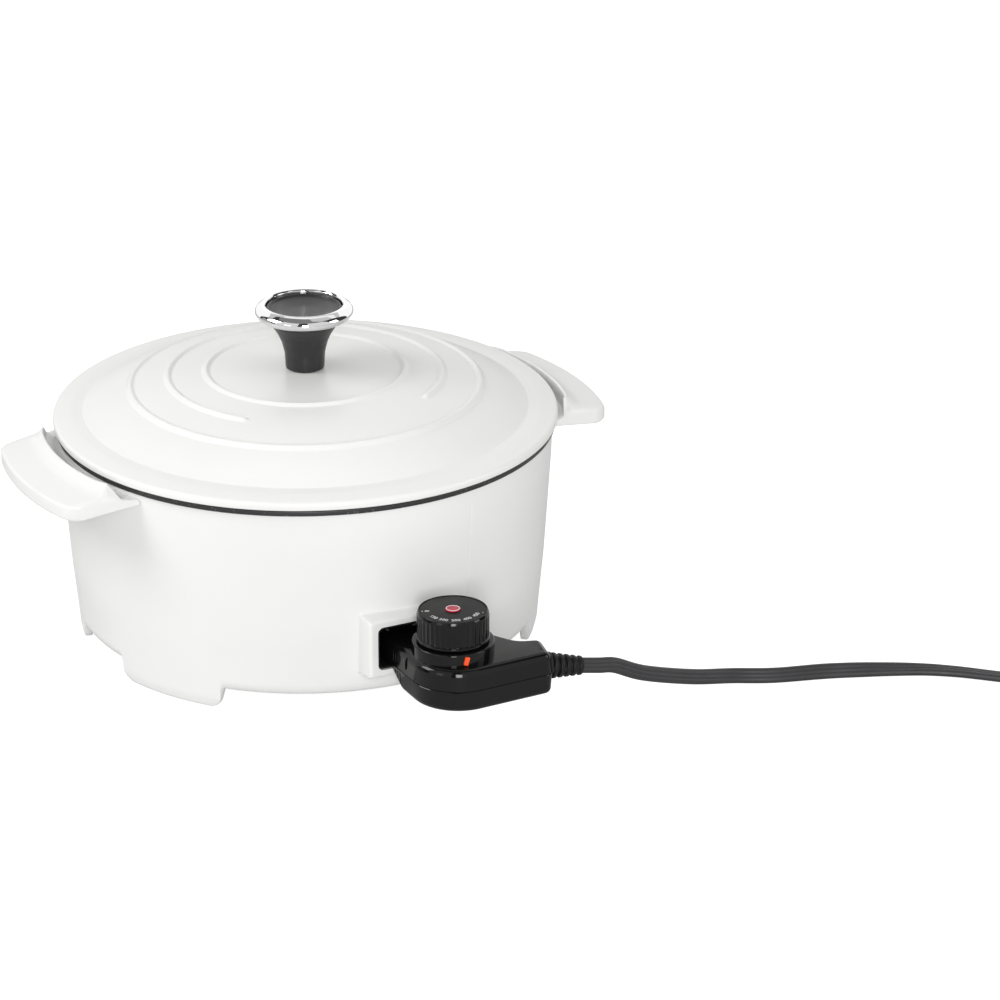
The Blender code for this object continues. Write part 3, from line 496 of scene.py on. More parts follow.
def cord_line():
    """Places along the cord, each with the lean of its flat side: 0 and 180 stand on edge, 90 lies flat."""
    places = []
    for place in smooth(cord_route(), 0.0020):
        lean = 12 + 78 * ease(place.x, 0.185, 0.300)
        sunk = LOBE_APART * (1 - abs(cos(radians(lean)))) * ease(place.z, 0.012, 0.006)
        places.append((place - Vector((0, 0, sunk)), lean))
    steps_per_turn = 120
    for i in range(1, round(TURNS * steps_per_turn) + 1):
        turn = i / steps_per_turn
        degrees = 90 - 360 * turn
        radius = TURN_R + TURN_PITCH * turn
        angle = radians(degrees)
        place = COIL_MIDDLE + radius * (cos(angle) * COIL_WAY + sin(angle) * COIL_LEFT)
        lean = 90 + 90 * ease(turn, -0.02, 0.11)
        round_way = degrees % 360
        over = ease(round_way, 178, 138) * ease(round_way, 22, 58) if turn > 0.5 else 0.0
        tied = ease(abs(round_way - 220), 34, 6)
        tail = ease(turn, TURNS - 0.13, TURNS + 0.10)
        lift = max(0.0045 * over, 0.0014 * tied)
        height = LOBE_R + LOBE_APART * abs(cos(radians(lean))) + 0.0001
        place.z = max(height + lift, height + (PLUG_Z - height) * tail)
        places.append((place, lean))
    last = places[-1][0]
    for i in range(1, 17):
        along = 0.0020 * i
        tail = ease(TURNS + along / (2 * pi * 0.0486), TURNS - 0.13, TURNS + 0.10)
        height = LOBE_R + LOBE_APART
        place = Vector((last.x, last.y, 0)) - COIL_LEFT * along
        place.z = height + (PLUG_Z - height) * tail
        places.append((place, 180))
    return places


def cord_section():
    """Outline of three round cores side by side, as (across the width, across the thickness)."""
    notch = math.degrees(math.acos(LOBE_APART / 2 / LOBE_R))
    section = arc((LOBE_APART, 0), LOBE_R, notch - 180, 180 - notch, 13)
    section += arc((0, 0), LOBE_R, notch, 180 - notch, 5)[1:-1]
    section += arc((-LOBE_APART, 0), LOBE_R, notch, 360 - notch, 13)
    section += arc((0, 0), LOBE_R, 180 + notch, 360 - notch, 5)[1:-1]
    return section


def make_cord():
    line = cord_line()
    section = cord_section()
    rings = []
    for i, (place, lean) in enumerate(line):
        ahead, behind = line[min(i + 1, len(line) - 1)][0], line[max(i - 1, 0)][0]
        way = (ahead - behind).normalized()
        right = way.cross(Vector((0, 0, 1))).normalized()
        up = right.cross(way)
        angle = radians(lean)
        across = up * cos(angle) - right * sin(angle)
        through = across.cross(way)
        rings.append([place + across * a + through * b for a, b in section])
    made = piece("power_cord", skin(rings), "cord_rubber", "control", "cord", "cord_coil", sharp=40)
    path = [place + Vector((0, AXIS_Y, 0)) for place, _ in line]
    length = sum((b - a).length for a, b in zip(path, path[1:]))
    return made, path, length


def make_relief():
    """Ribbed sleeve: rings that shrink along the cord, joined in turn above and below, and at the sides."""
    ribs = 5
    parts = [rod((0, 0, -0.0006), (0, 0, RELIEF_LENGTH - 0.0006), 0.0047, 32)]
    collar = [(0, -0.0010), (0.0074, -0.0010), (0.0074, 0.0016, 0.0006), (0, 0.0016)]
    parts.append(turned(rounded(collar), 48))
    pitch = (RELIEF_LENGTH - 0.0016) / ribs
    for i in range(ribs):
        start = 0.0024 + i * pitch
        radius = 0.0071 - 0.0017 * i / (ribs - 1)
        outline = [(0, start), (radius, start, 0.0005), (radius - 0.0002, start + 0.0021, 0.0005)]
        outline.append((0, start + 0.0021))
        parts.append(turned(rounded(outline, 3), 40))
        for side in (0, 180):
            low, high = start - pitch + 0.0015, start + 0.0006
            tie = block((0.0030, -0.0016, low), (radius - 0.0006, 0.0016, high), 0.0003)
            parts.append(moved(tie, turn=spin(side + 90 * (i % 2))))
    shape = weld(*parts)
    turn = RELIEF_WAY.to_track_quat("Z", "Y").to_matrix()
    return piece("relief_sleeve", moved(shape, RELIEF_START, turn), "matt_black", "control", "strain_relief")


def make_tie():
    """Strap round the coiled turns, with its free end lapped over."""
    at = 220
    turn = (90 - at) % 360 / 360
    near = TURN_R + TURN_PITCH * turn - LOBE_R - 0.0002
    far = near + TURN_PITCH + 2 * LOBE_R + 0.0004
    low, high = 0.0013, 0.0103
    strap, half = 0.0009, 0.0029
    rings = []
    for y, out in ((-half, 0.0), (-half, strap), (half, strap), (half, 0.0)):
        rings.append(rectangle(near - out, far + out, low - out, high + out, 0.0016 + out, y, 6))
    loop = skin(rings, closed=True)
    lap_half = half - 0.0002
    lap = block((near + 0.0008, -lap_half, high + strap), (far + strap, lap_half, high + 2 * strap), 0.0003)
    shape = weld(loop, lap)
    way = math.degrees(math.atan2(COIL_WAY.y, COIL_WAY.x))
    shape = moved(shape, COIL_MIDDLE, spin(way + at))
    return piece("tie_strap", shape, "matt_black", "control", "cord_tie")


def make_plug():
    """Moulded plug beside the coil, with a ribbed neck, a finger grip, two blades and an earth pin."""
    way, side = -COIL_LEFT, COIL_WAY
    origin = COIL_MIDDLE + side * (TURN_R + TURN_PITCH * TURNS) + Vector((0, 0, PLUG_Z))
    turn = Matrix((side, Vector((0, 0, 1)), way)).transposed()

    def oval(along, half_width, half_height, power=2.6):
        ring = []
        for i in range(56):
            a = 2 * pi * i / 56
            c, s = cos(a), sin(a)
            ring.append((
                half_width * math.copysign(abs(c) ** (2 / power), c),
                half_height * math.copysign(abs(s) ** (2 / power), s),
                along,
            ))
        return ring

    rings = [oval(0.0300, 0.0043, 0.0044, 2)]
    for i in range(4):
        start, thick = 0.0305 + 0.0032 * i, 0.0054 + 0.0004 * i
        for along, less in ((0, 0.0008), (0.0003, 0), (0.0019, 0), (0.0022, 0.0008)):
            rings.append(oval(start + along, thick - less, thick - less, 2))
    for along, wide, high, power in (
        (0.0440, 0.0068, 0.0066, 2), (0.0470, 0.0085, 0.0079, 2.3), (0.0500, 0.0105, 0.0095, 2.6),
        (0.0530, 0.0121, 0.0109, 2.7), (0.0560, 0.0130, 0.0117, 2.7), (0.0590, 0.0129, 0.0115, 2.7),
        (0.0640, 0.0126, 0.0112, 2.7), (0.0665, 0.0130, 0.0117, 2.7), (0.0690, 0.0137, 0.0125, 2.7),
        (0.0705, 0.0138, 0.0126, 2.7), (0.0733, 0.0138, 0.0126, 2.7), (0.0738, 0.0136, 0.0124, 2.7),
        (0.0740, 0.0131, 0.0119, 2.7),
    ):
        rings.append(oval(along, wide, high, power))
    body = piece("plug_moulding", moved(skin(rings), origin, turn), "matt_black", "control", "plug_body")
    pieces = [body]
    for number, x in enumerate((-0.00635, 0.00635), 1):
        blade = block((x - 0.00075, -0.0072, 0.0736), (x + 0.00075, -0.0008, 0.0905), 0.0005)
        blade = cut(blade, rod((x - 0.002, -0.0040, 0.0866), (x + 0.002, -0.0040, 0.0866), 0.0016, 32))
        name = f"plug_blade_{number}"
        pieces.append(piece(f"blade_{number}", moved(blade, origin, turn), "brass", "control", name))
    pin = moved(tipped(0.0024, 0.0736, 0.0950, 0.0022), (0, 0.0065, 0))
    pieces.append(piece("earth_pin", moved(pin, origin, turn), "brass", "control", "plug_ground_pin"))
    return pieces


# ---- lid and knob
def dome(r):
    """Height of the lid's upper face inside its flange."""
    return LID_TOP_Z - 0.0190 * (r / 0.119) ** 3.6


def ridge(r, degrees):
    """How far the raised rings lift the lid's face; the middle ring has two round ends."""
    lift = 0.0
    degrees = degrees - 360 if degrees > 180 else degrees
    for radius, height in RINGS:
        away = abs(r - radius)
        if radius == OPEN_RING and OPEN_FROM < degrees < OPEN_TO:
            past = min(degrees - OPEN_FROM, OPEN_TO - degrees)
            away = math.hypot(away, radians(past) * radius)
        if away < RING_HALF:
            lift = max(lift, height * (0.5 + 0.5 * cos(pi * away / RING_HALF)) ** 0.8)
    return lift


def make_lid():
    radii = {round(0.0030 + 0.0026 * i, 5) for i in range(44)}
    for radius, _ in RINGS:
        radii |= {round(radius + RING_HALF * i / 8, 5) for i in range(-9, 10)}
    face = [(r, dome(r)) for r in sorted(radii, reverse=True) if r < 0.1165]
    outline = rounded([
        (0.0600, dome(0.0600) - LID_WALL, 0.020), (0.0850, dome(0.0850) - LID_WALL - 0.0004, 0.020),
        (0.1050, dome(0.1050) - LID_WALL - 0.0010, 0.012), (0.1180, 0.1287, 0.003),
        (0.1213, 0.1262, 0.0015), (0.1218, 0.1196, 0.0006),
        (0.1243, 0.1196, 0.0006), (0.1252, LID_EDGE_Z, 0.0008),
        (LID_R, LID_EDGE_Z, 0.0009), (LID_R, LID_EDGE_Z + 0.0044, 0.0022),
        (0.1300, LID_EDGE_Z + 0.0062, 0.020), (0.1236, LID_EDGE_Z + 0.0064, 0.0022),
        (0.1175, dome(0.1175)),
    ], 8)
    outline = [(0.0030, LID_TOP_Z - LID_WALL), *outline[1:], *face]

    def raised(r, z, degrees):
        on_top = r < 0.1170 and abs(z - dome(r)) < 1e-6
        return r, z + (ridge(r, degrees) if on_top else 0.0)

    piece("lid_enamel", turned(outline, 360, raised), "white_enamel", "lid", "lid", sharp=45)


def make_knob():
    base = LID_TOP_Z + 0.0003
    stem = [
        (0, base + 0.0306), (0.0196, base + 0.0306, 0.0005),
        (0.0194, base + 0.0268, 0.001), (0.0172, base + 0.0238, 0.012),
        (0.0148, base + 0.0200, 0.012), (0.0128, base + 0.0155, 0.020),
        (0.0112, base + 0.0090, 0.020), (0.0107, base, 0.0007),
        (0, base),
    ]
    lathed("stem", stem, 96, "dark_stem", "lid", "knob_stem")
    top = KNOB_TOP_Z
    ring = [
        (0.0199, top - 0.0087), (0.0210, top - 0.0094, 0.0006),
        (0.0262, top - 0.0072, 0.006), (KNOB_R, top - 0.0044, 0.003),
        (0.0264, top - 0.0024, 0.004), (0.0236, top - 0.0004, 0.006),
        (0.0221, top, 0.0007), (0.0212, top - 0.0010, 0.0006),
        (0.0210, top - 0.0050),
    ]
    lathed("chrome_ring", ring, 128, "chrome", "lid", "knob_ring", fine=8, sharp=60)
    low = base + 0.0306 + 0.0003
    insert = [
        (0, low), (0.0196, low),
        (0.0206, low + 0.0026), (0.0206, low + 0.0046, 0.0004),
        (0.0195, low + 0.0046, 0.0006), (0.0184, low + 0.0034, 0.0010),
        (0.0080, low + 0.0017, 0.03), (0, low + 0.0015),
    ]
    lathed("knob_cap", insert, 96, "dark_stem", "lid", "knob_insert")
    under = LID_TOP_Z - LID_WALL - 0.0003
    face = under - 0.0012
    washer = [(0.0028, face, 0.0002), (0.0080, face, 0.0004), (0.0080, under), (0.0028, under)]
    lathed("washer", washer, 64, "steel", "lid", "knob_washer")
    seat = under - 0.0015
    piece("lid_screw", screw_head((0, 0, seat), 0.0050, 0.0026, -1), "steel", "lid", "knob_screw")


def screw_head(seat, radius, height, up, slot_depth=0.0012):
    """Round head with a cross recess, its flat side on the seat."""
    dish = rounded([(0, 0), (radius, 0, 0.0002), (radius, height, height * 0.8), (0, height)], 8)
    head = turned(dish, 48)
    size, width = radius * 0.62, radius * 0.13
    for turn in (0, 90):
        bar = block((-size, -width, height - slot_depth), (size, width, height + 0.001))
        head = cut(head, moved(bar, turn=spin(turn + 20)))
    flip = Matrix.Diagonal((1, up, up)) if up < 0 else None
    return moved(head, seat, flip)


# ---- outer shell, feet and socket
def shell_radius(z):
    """Outside radius of the shell's side at a height."""
    heights = (0.0, 0.0057, 0.022, 0.045, 0.104, SHELL_TOP_Z)
    radii = (0.1274, 0.1290, 0.1303, WAIST_R, 0.1365, SHELL_TOP_R)
    for low, high, a, b in zip(heights, heights[1:], radii, radii[1:]):
        if z <= high:
            return a + (b - a) * (z - low) / (high - low)
    return SHELL_TOP_R


def foot_edge():
    """(degrees in from a foot's side, height of the lower edge), out of the gap and down to the table."""
    outline = rounded([
        (-0.0060, SHELL_BOTTOM_Z), (0.0014, SHELL_BOTTOM_Z, 0.0030),
        (0.0045, 0.0, 0.0075), (0.0240, 0.0),
    ], 12)
    return [(math.degrees(along / 0.1285), z) for along, z in outline]


def read(table, at):
    """Linear interpolation in a list of (place, value) pairs, held at its ends."""
    if at <= table[0][0]:
        return table[0][1]
    for (a, low), (b, high) in zip(table, table[1:]):
        if at <= b:
            return low + (high - low) * (at - a) / (b - a)
    return table[-1][1]


def shell_columns():
    """Azimuths of the shell's columns, closer together at the feet, the socket's surround and the seam."""
    columns = {float(d) for d in range(-180, 180, 2)}
    sides = foot_edge()
    for side in (0, 180):
        for lean in (-FOOT_AZIMUTH, FOOT_AZIMUTH):
            for turn, _ in sides:
                for way in (-1, 1):
                    columns.add((side + lean + way * (FOOT_HALF - turn) + 180) % 360 - 180)
    for x, _ in SURROUND_ACROSS:
        aside = math.degrees(math.asin(x / WAIST_R))
        columns |= {-90 - aside, -90 + aside}
    columns |= {SEAM_AZIMUTH + away for away in (-0.22, -0.09, 0.09, 0.22)}
    kept = []
    for turn in sorted(columns):
        if not kept or turn - kept[-1] > 0.05:
            kept.append(turn)
    return kept


# how far the socket's surround stands out: to one side of its middle, and up it
SURROUND_ACROSS = rounded([
    (-0.0335, 0.0), (-0.0296, 0.0, 0.0012), (-0.0282, 0.0116, 0.0022), (0.0, 0.0116),
], 8)
SURROUND_UP = rounded([
    (0.0226, 0.0), (0.0243, 0.0, 0.0012), (0.0252, 0.0080, 0.0018), (0.0580, 0.0080, 0.0022),
    (0.0598, 0.0, 0.0014), (0.0640, 0.0),
], 8)


def make_shell():
    """The shell's side as a fine grid: it stands out at the socket and runs down to the table at the feet."""
    across = [(x, share / 0.0116) for x, share in SURROUND_ACROSS]
    upward = [(z, share / 0.0080) for z, share in SURROUND_UP]
    sides = foot_edge()
    heights = {SHELL_TOP_Z - 0.0004, 0.1130, 0.1128, 0.104, 0.095, 0.086, 0.077, 0.068, 0.0615, 0.0610}
    heights |= {z for z, _ in SURROUND_UP} | {0.030 + 0.004 * i for i in range(7)}
    heights = sorted(heights, reverse=True)
    corner_steps = 10
    rings = []
    for turn in shell_columns():
        from_foot = min(abs(abs(turn) - FOOT_AZIMUTH), abs(180 - abs(turn) - FOOT_AZIMUTH))
        low = read(sides, FOOT_HALF - from_foot)
        foot = ease(low, SHELL_BOTTOM_Z - 0.0004, SHELL_BOTTOM_Z - 0.0050)
        seam = abs(turn - SEAM_AZIMUTH) < 0.1
        x_here = WAIST_R * cos(radians(turn))
        front = turn < 0
        column = [polar(SHELL_TOP_R - 0.0005, turn, SHELL_TOP_Z)]
        for z in heights:
            r = shell_radius(z) - (0.00035 if seam and z < 0.1129 else 0.0)
            place = polar(r, turn, z)
            share = read(across, -abs(x_here)) * read(upward, z) if front else 0.0
            place.y += (-SOCKET_FRONT - place.y) * share
            place.x += (x_here - place.x) * share
            column.append(place)
        for i in range(1, corner_steps + 1):
            angle = pi / 2 * i / corner_steps
            plain = (0.1249 + 0.0054 * cos(angle), 0.0195 - 0.0081 * sin(angle))
            drop = 0.0195 + (low + 0.0006 - 0.0195) * i / corner_steps
            down = (shell_radius(drop) - 0.0001, drop)
            r, z = (a + (b - a) * foot for a, b in zip(plain, down))
            column.append(polar(r, turn, z))
        rim = shell_radius(low)
        under = ((0.0004, 0.0001), (0.0010, 0.0), (0.0036, 0.0), (0.0042, 0.0004))
        for i, (into, up) in enumerate(under, 1):
            plain, z = 0.1249 - 0.0004 * i, low + up
            r = plain + (rim - into - plain) * foot
            column.append(polar(r, turn, SHELL_BOTTOM_Z + (z - SHELL_BOTTOM_Z) * foot))
        for r, z in (
            (0.1229, SHELL_BOTTOM_Z), (0.1226, SHELL_BOTTOM_Z + 0.0003), (0.1226, 0.0139), (0.1120, 0.0139),
            (0.1120, 0.0163), (0.1262, 0.0163), (WAIST_R - SHELL_WALL, 0.0450), (0.1365 - SHELL_WALL, 0.1040),
            (SHELL_TOP_R - SHELL_WALL, SHELL_TOP_Z),
        ):
            column.append(polar(r, turn, z))
        rings.append(column)
    shape = skin(rings, closed=True)
    opening = [rectangle(-RECESS_HALF, RECESS_HALF, RECESS_LOW, RECESS_HIGH, 0.0033, y, 10)
               for y in (-0.150, -0.122)]
    shape = cut(shape, skin(opening))
    piece("shell_moulding", shape, "white_plastic", "base", "outer_shell", sharp=38)


def make_liner():
    """Black box behind the socket's opening, with the holes for the pins and the probe."""
    def frame_at(y, margin):
        half = RECESS_HALF - margin
        return rectangle(-half, half, RECESS_LOW + margin, RECESS_HIGH - margin, 0.0034 - margin, y, 8)

    wall, front = 0.0015, -SOCKET_FRONT + 0.0008
    rings = [
        frame_at(-LINER_BACK, 0.0003),
        frame_at(front + 0.0004, 0.0003),
        frame_at(front, 0.0007),
        frame_at(front, wall - 0.0003),
        frame_at(front + 0.0004, wall),
        frame_at(-LINER_BACK - wall - 0.0008, wall),
        frame_at(-LINER_BACK - wall, wall + 0.0008),
    ]
    shape = skin(rings)
    holes = [rod((x, -0.110, PIN_Z), (x, -0.125, PIN_Z), 0.0041) for x in (-PIN_X, 0, PIN_X)]
    ribs = [block((x - 0.0005, -0.1206, 0.0318), (x + 0.0005, -LINER_BACK - 0.001, 0.0520), 0.0002)
            for x in (-0.0172, 0.0172)]
    piece("socket_box", weld(cut(shape, *holes), *ribs), "matt_black", "base", "socket_liner")


def make_pins():
    for number, x in enumerate((-PIN_X, PIN_X), 1):
        turn = Matrix.Rotation(pi / 2, 3, "X")
        shape = moved(tipped(0.0022, 0, 0.0267, 0.0018), (x, -0.1123, PIN_Z), turn)
        piece(f"pin_{number}", shape, "steel", "base", f"terminal_pin_{number}")
        bead = [(0.0025, 0), (0.0038, 0, 0.0004), (0.0038, 0.0063, 0.0006), (0.0025, 0.0063, 0.0003)]
        bead = moved(turned(rounded(bead, 4), 48), (x, -0.1155, PIN_Z), turn)
        piece(f"bead_{number}", bead, "ceramic", "base", f"pin_insulator_{number}")


# ---- pot and underside
def make_pot():
    under, floor = edge("inner_pot", LOW, Z), 0.0469
    outline = [
        (0, under), (0.1182, under, 0.0230),
        (0.1315, SHELL_TOP_Z + 0.0003, 0.0006), (0.1388, SHELL_TOP_Z + 0.0003, 0.0008),
        (0.1388, 0.1237, 0.0010), (0.1272, 0.1237, 0.0012),
        (0.1186, floor, 0.0195), (0, floor),
    ]
    lathed("pot_coating", outline, 200, "nonstick", "base", "inner_pot", fine=14, sharp=45)


def make_underside():
    """Bottom cover with moulded rings, vent slots and countersinks, and its three screws."""
    top, low = SHELL_BOTTOM_Z + 0.0022, SHELL_BOTTOM_Z + 0.0001
    outline = [(0, top), (0.1222, top), (0.1222, low)]
    for radius in (0.1080, 0.0860, 0.0620, 0.0380):
        outline += [(radius + 0.0020, low), (radius + 0.0014, low + 0.0005), (radius - 0.0014, low + 0.0005)]
        outline += [(radius - 0.0020, low)]
    outline.append((0, low))
    shape = turned(outline, 160)
    tools = [moved(rod((0, 0, 0.005), (0, 0, 0.020), 0.0019), polar(COVER_SCREW_R, a)) for a in COVER_SCREWS]
    for i in range(12):
        slot_shape = block((0.0680, -0.0013, 0.0050), (0.0800, 0.0013, 0.0200))
        tools.append(moved(slot_shape, turn=spin(30 * i + 15)))
    piece("base_plate", cut(shape, *tools), "matt_black", "base", "bottom_cover")
    for number, azimuth in enumerate(COVER_SCREWS, 1):
        head = screw_head((0, 0, 0), 0.0034, 0.0016, -1)
        place = polar(COVER_SCREW_R, azimuth, low - 0.0001)
        piece(f"cover_screw_{number}", moved(head, place), "steel", "base", f"bottom_screw_{number}")


# ---- handles
def inset(outline, distance):
    """A closed outline moved inwards by a distance; the outline runs anticlockwise."""
    count = len(outline)
    moved_in = []
    for i in range(count):
        before, here, after = (Vector(outline[k % count]) for k in (i - 1, i, i + 1))
        one, two = (here - before).normalized(), (after - here).normalized()
        normal = Vector((-one.y - two.y, one.x + two.x)).normalized()
        lean = max(0.4, normal.dot(Vector((-one.y, one.x))))
        moved_in.append(tuple(here + normal * distance / lean))
    return moved_in


def make_handle(name, node, side):
    """A wing round part of the rim: a ridge beside the lid, a scooped top and a rounded tip."""
    profile = rounded([
        (SHELL_TOP_R - 0.0004, 0.1058), (0.1560, 0.1064, 0.03),
        (HANDLE_R, 0.1082, 0.0022), (HANDLE_R, 0.1168, 0.0020),
        (0.1540, 0.1197, 0.020), (0.1500, 0.1222, 0.006),
        (0.1478, 0.1250, 0.0010), (0.1464, 0.1250, 0.0009),
        (0.1449, 0.1178, 0.0012), (SHELL_TOP_R + 0.0003, 0.1175),
    ], 7)
    bevel = 0.0011
    turns = [HANDLE_HALF_ANGLE * i / 16 for i in range(-15, 16)]
    rings = []
    for away, into in [(0.0, 1.0), *quarter(4)[:3]]:
        rings.append((-HANDLE_HALF_ANGLE + math.degrees(bevel * away / 0.155), bevel * into))
    rings += [(turn, 0.0) for turn in turns]
    rings += [(-turn, into) for turn, into in reversed(rings[:4])]
    sections = []
    for turn, into in rings:
        pull = 0.0060 * max(0.0, 1 - (HANDLE_HALF_ANGLE - abs(turn)) / 3.0) ** 2
        climb = HANDLE_RISE * ease(abs(turn), 7.0, HANDLE_HALF_ANGLE)
        outline = inset(profile, into) if into else profile
        section = []
        for r, z in outline:
            reach = min(1.0, max(0.0, (r - SHELL_TOP_R) / (HANDLE_R - SHELL_TOP_R)))
            flare = HANDLE_FLARE * (1 - reach) ** 1.6 * (1 - ease(z, 0.1165, 0.1235))
            rise = climb * (1 - reach) * (1 - ease(z, 0.1100, 0.1180))
            section.append(polar(r - pull * reach, turn * (1 + flare), z + rise))
        sections.append(section)
    piece(name, moved(skin(sections), turn=spin(side)), "white_plastic", "base", node, sharp=40)


# ---- control
def control_plan():
    """The control's outline at its parting line, seen from above, anticlockwise, at even steps."""
    nose_r, neck = 0.0270, 0.0170
    nose = (nose_r - neck, edge("control_bottom_shell", LOW, Y) - AXIS_Y + nose_r)
    slant = 10.6
    back = smooth([(0.0524, -0.1710, 0), (0.0460, -0.1680, 0), (0.0415, -0.1612, 0), (0.0370, -0.1535, 0),
                   (0.0300, -0.1470, 0), (0.0225, -0.1440, 0), (neck, -0.1400, 0), (neck, -0.1340, 0)], 0.001)
    plan = [(-neck, -0.1245)]
    plan += arc(nose, nose_r, 180, 270, 40)
    plan += arc((0.0501, -0.1897), 0.0050, 270, 360 - slant, 9)
    plan += arc((0.0526, -0.1762), 0.0050, -slant, 70, 9)
    plan += [(p.x, p.y) for p in back[3:]]
    plan += [(neck, -0.1245)]
    return [tuple(p) for p in spaced([Vector(p) for p in plan], 0.0011)]


def level(plan, distance, z):
    return [(x, y, z) for x, y in inset(plan, distance)]


def relief_hole():
    return rod(RELIEF_START - RELIEF_WAY * 0.006, RELIEF_START + RELIEF_WAY * 0.006, 0.0050)


def groove(y, low, high):
    """One of the grip grooves in the side of the control's neck."""
    return block((-0.0180, y - 0.0006, low), (-0.0162, y + 0.0006, high), 0.0003)


def make_control_top():
    plan = control_plan()
    bottom = PARTING_Z + 0.00012
    shoulder = 0.0048
    rings = [level(plan, into, z) for into, z in (
        (CONTROL_WALL + 0.0014, CONTROL_HIGH - CONTROL_WALL), (CONTROL_WALL, bottom), (0.0003, bottom),
        (0.00005, bottom + 0.0003), (0.0007, CONTROL_HIGH - shoulder),
    )]
    for into, drop in quarter(10):
        rings.append(level(plan, 0.0007 + (shoulder - 0.0009) * into, CONTROL_HIGH - shoulder * drop))
    shape = skin(rings)
    boss = rounded([(0, 0.0440), (BOSS_R, 0.0440), (BOSS_R, BOSS_TOP, 0.0009), (0, BOSS_TOP)], 6)
    shape = weld(shape, moved(turned(boss, 128), DIAL_PLACE))
    roof = BOSS_TOP - CONTROL_WALL
    hollow = [(0, 0.0380), (0.0195, 0.0380), (0.0195, roof), (0.0034, roof), (0.0034, 0.060), (0, 0.060)]
    hollow = moved(turned(hollow, 96), DIAL_PLACE)
    mouth = block((-0.0137, -0.1290, 0.0330), (0.0137, -0.1200, 0.0430))
    window = lens_shape(0.0012, 0.0180, 0.0240)
    grooves = [groove(y, 0.0362, 0.0428) for y in (-0.1445, -0.1473, -0.1501)]
    dimple = rod((-0.0195, -0.1600, 0.0403), (-0.0150, -0.1600, 0.0403), 0.0020, bevel=0.0006)
    bmesh.ops.scale(dimple, vec=(1.0, 0.75, 1.75), verts=dimple.verts,
                    space=Matrix.Translation((0.0, 0.1600, -0.0403)))
    shape = cut(cut(shape, hollow, mouth, relief_hole(), *grooves, dimple), window)
    piece("control_cover", shape, "gloss_black", "control", "control_top_shell", sharp=30)


def lens_shape(extra, near, far):
    """The pilot window in the boss: a small upright bar that leans a little."""
    wide, high = 0.0013 + extra / 4, 0.0023 + extra / 4
    bar = block((near, -wide, -high), (far, wide, high), 0.0004)
    bar = moved(bar, turn=Matrix.Rotation(radians(-14), 3, "X"))
    return moved(moved(bar, (0, 0, 0.0490), spin(LENS_AZIMUTH)), DIAL_PLACE)


def make_control_bottom():
    plan = control_plan()
    top = PARTING_Z - 0.00012
    rings = [level(plan, 0.0003, top), level(plan, 0.00005, top - 0.0003)]
    floor = CONTROL_LOW
    rings.append(level(plan, 0.0006, floor + 0.0034))
    rings += [level(plan, 0.0006 + 0.0032 * into, floor + 0.0034 * drop) for into, drop in quarter(8)]
    shape = skin(rings)
    slope = [(-0.1150, 0.0320), (-0.1430, 0.0320), (-0.1585, floor - 0.001), (-0.1150, floor - 0.001)]
    shape = cut(shape, skin([[(x, y, z) for y, z in slope] for x in (-0.040, 0.040)]))
    inside = ((CONTROL_WALL, top + 0.002), (CONTROL_WALL + 0.0018, floor + CONTROL_WALL))
    hollow = skin([level(plan, into, z) for into, z in inside])
    inner = [(-0.1150, 0.0400), (-0.1455, 0.0400), (-0.1612, floor - 0.001), (-0.1150, floor - 0.001)]
    hollow = cut(hollow, skin([[(x, y, z) for y, z in inner] for x in (-0.040, 0.040)]))
    tools = [relief_hole()]
    tools += [rod((x, y, 0.0200), (x, y, 0.0233), 0.0030) for x, y in SCREW_PLACES]
    tools += [groove(y, 0.0262 + 0.0018 * i, 0.0324) for i, y in enumerate((-0.1530, -0.1501, -0.1473))]
    shape = cut(cut(shape, hollow), *tools)
    piece("control_base", shape, "gloss_black", "control", "control_bottom_shell", sharp=30)


def make_control_small():
    piece("pilot_lens", lens_shape(0.0, 0.0192, 0.0227), "orange_lens", "control", "indicator_lens")
    front = block((-0.0133, -0.1310, 0.0346), (0.0133, -0.1246, 0.0426), 0.0004)
    holes = [rod((x, -0.120, PIN_Z), (x, -0.135, PIN_Z), r)
             for x, r in ((-PIN_X, 0.0026), (0, 0.0031), (PIN_X, 0.0026))]
    piece("contact_face", cut(front, *holes), "matt_black", "control", "contact_block")
    length = edge("probe_rod", HIGH, Y) - edge("probe_rod", LOW, Y)
    start = (0, edge("probe_rod", LOW, Y) - AXIS_Y, PIN_Z)
    probe = moved(tipped(0.0028, 0, length, 0.0026), start, Matrix.Rotation(-pi / 2, 3, "X"))
    piece("probe", probe, "steel", "control", "probe_rod")
    for number, (x, y) in enumerate(SCREW_PLACES, 1):
        head = screw_head((x, y, 0.0231), 0.0026, 0.0010, -1, slot_depth=0.0006)
        piece(f"case_screw_{number}", head, "steel", "control", f"control_screw_{number}")


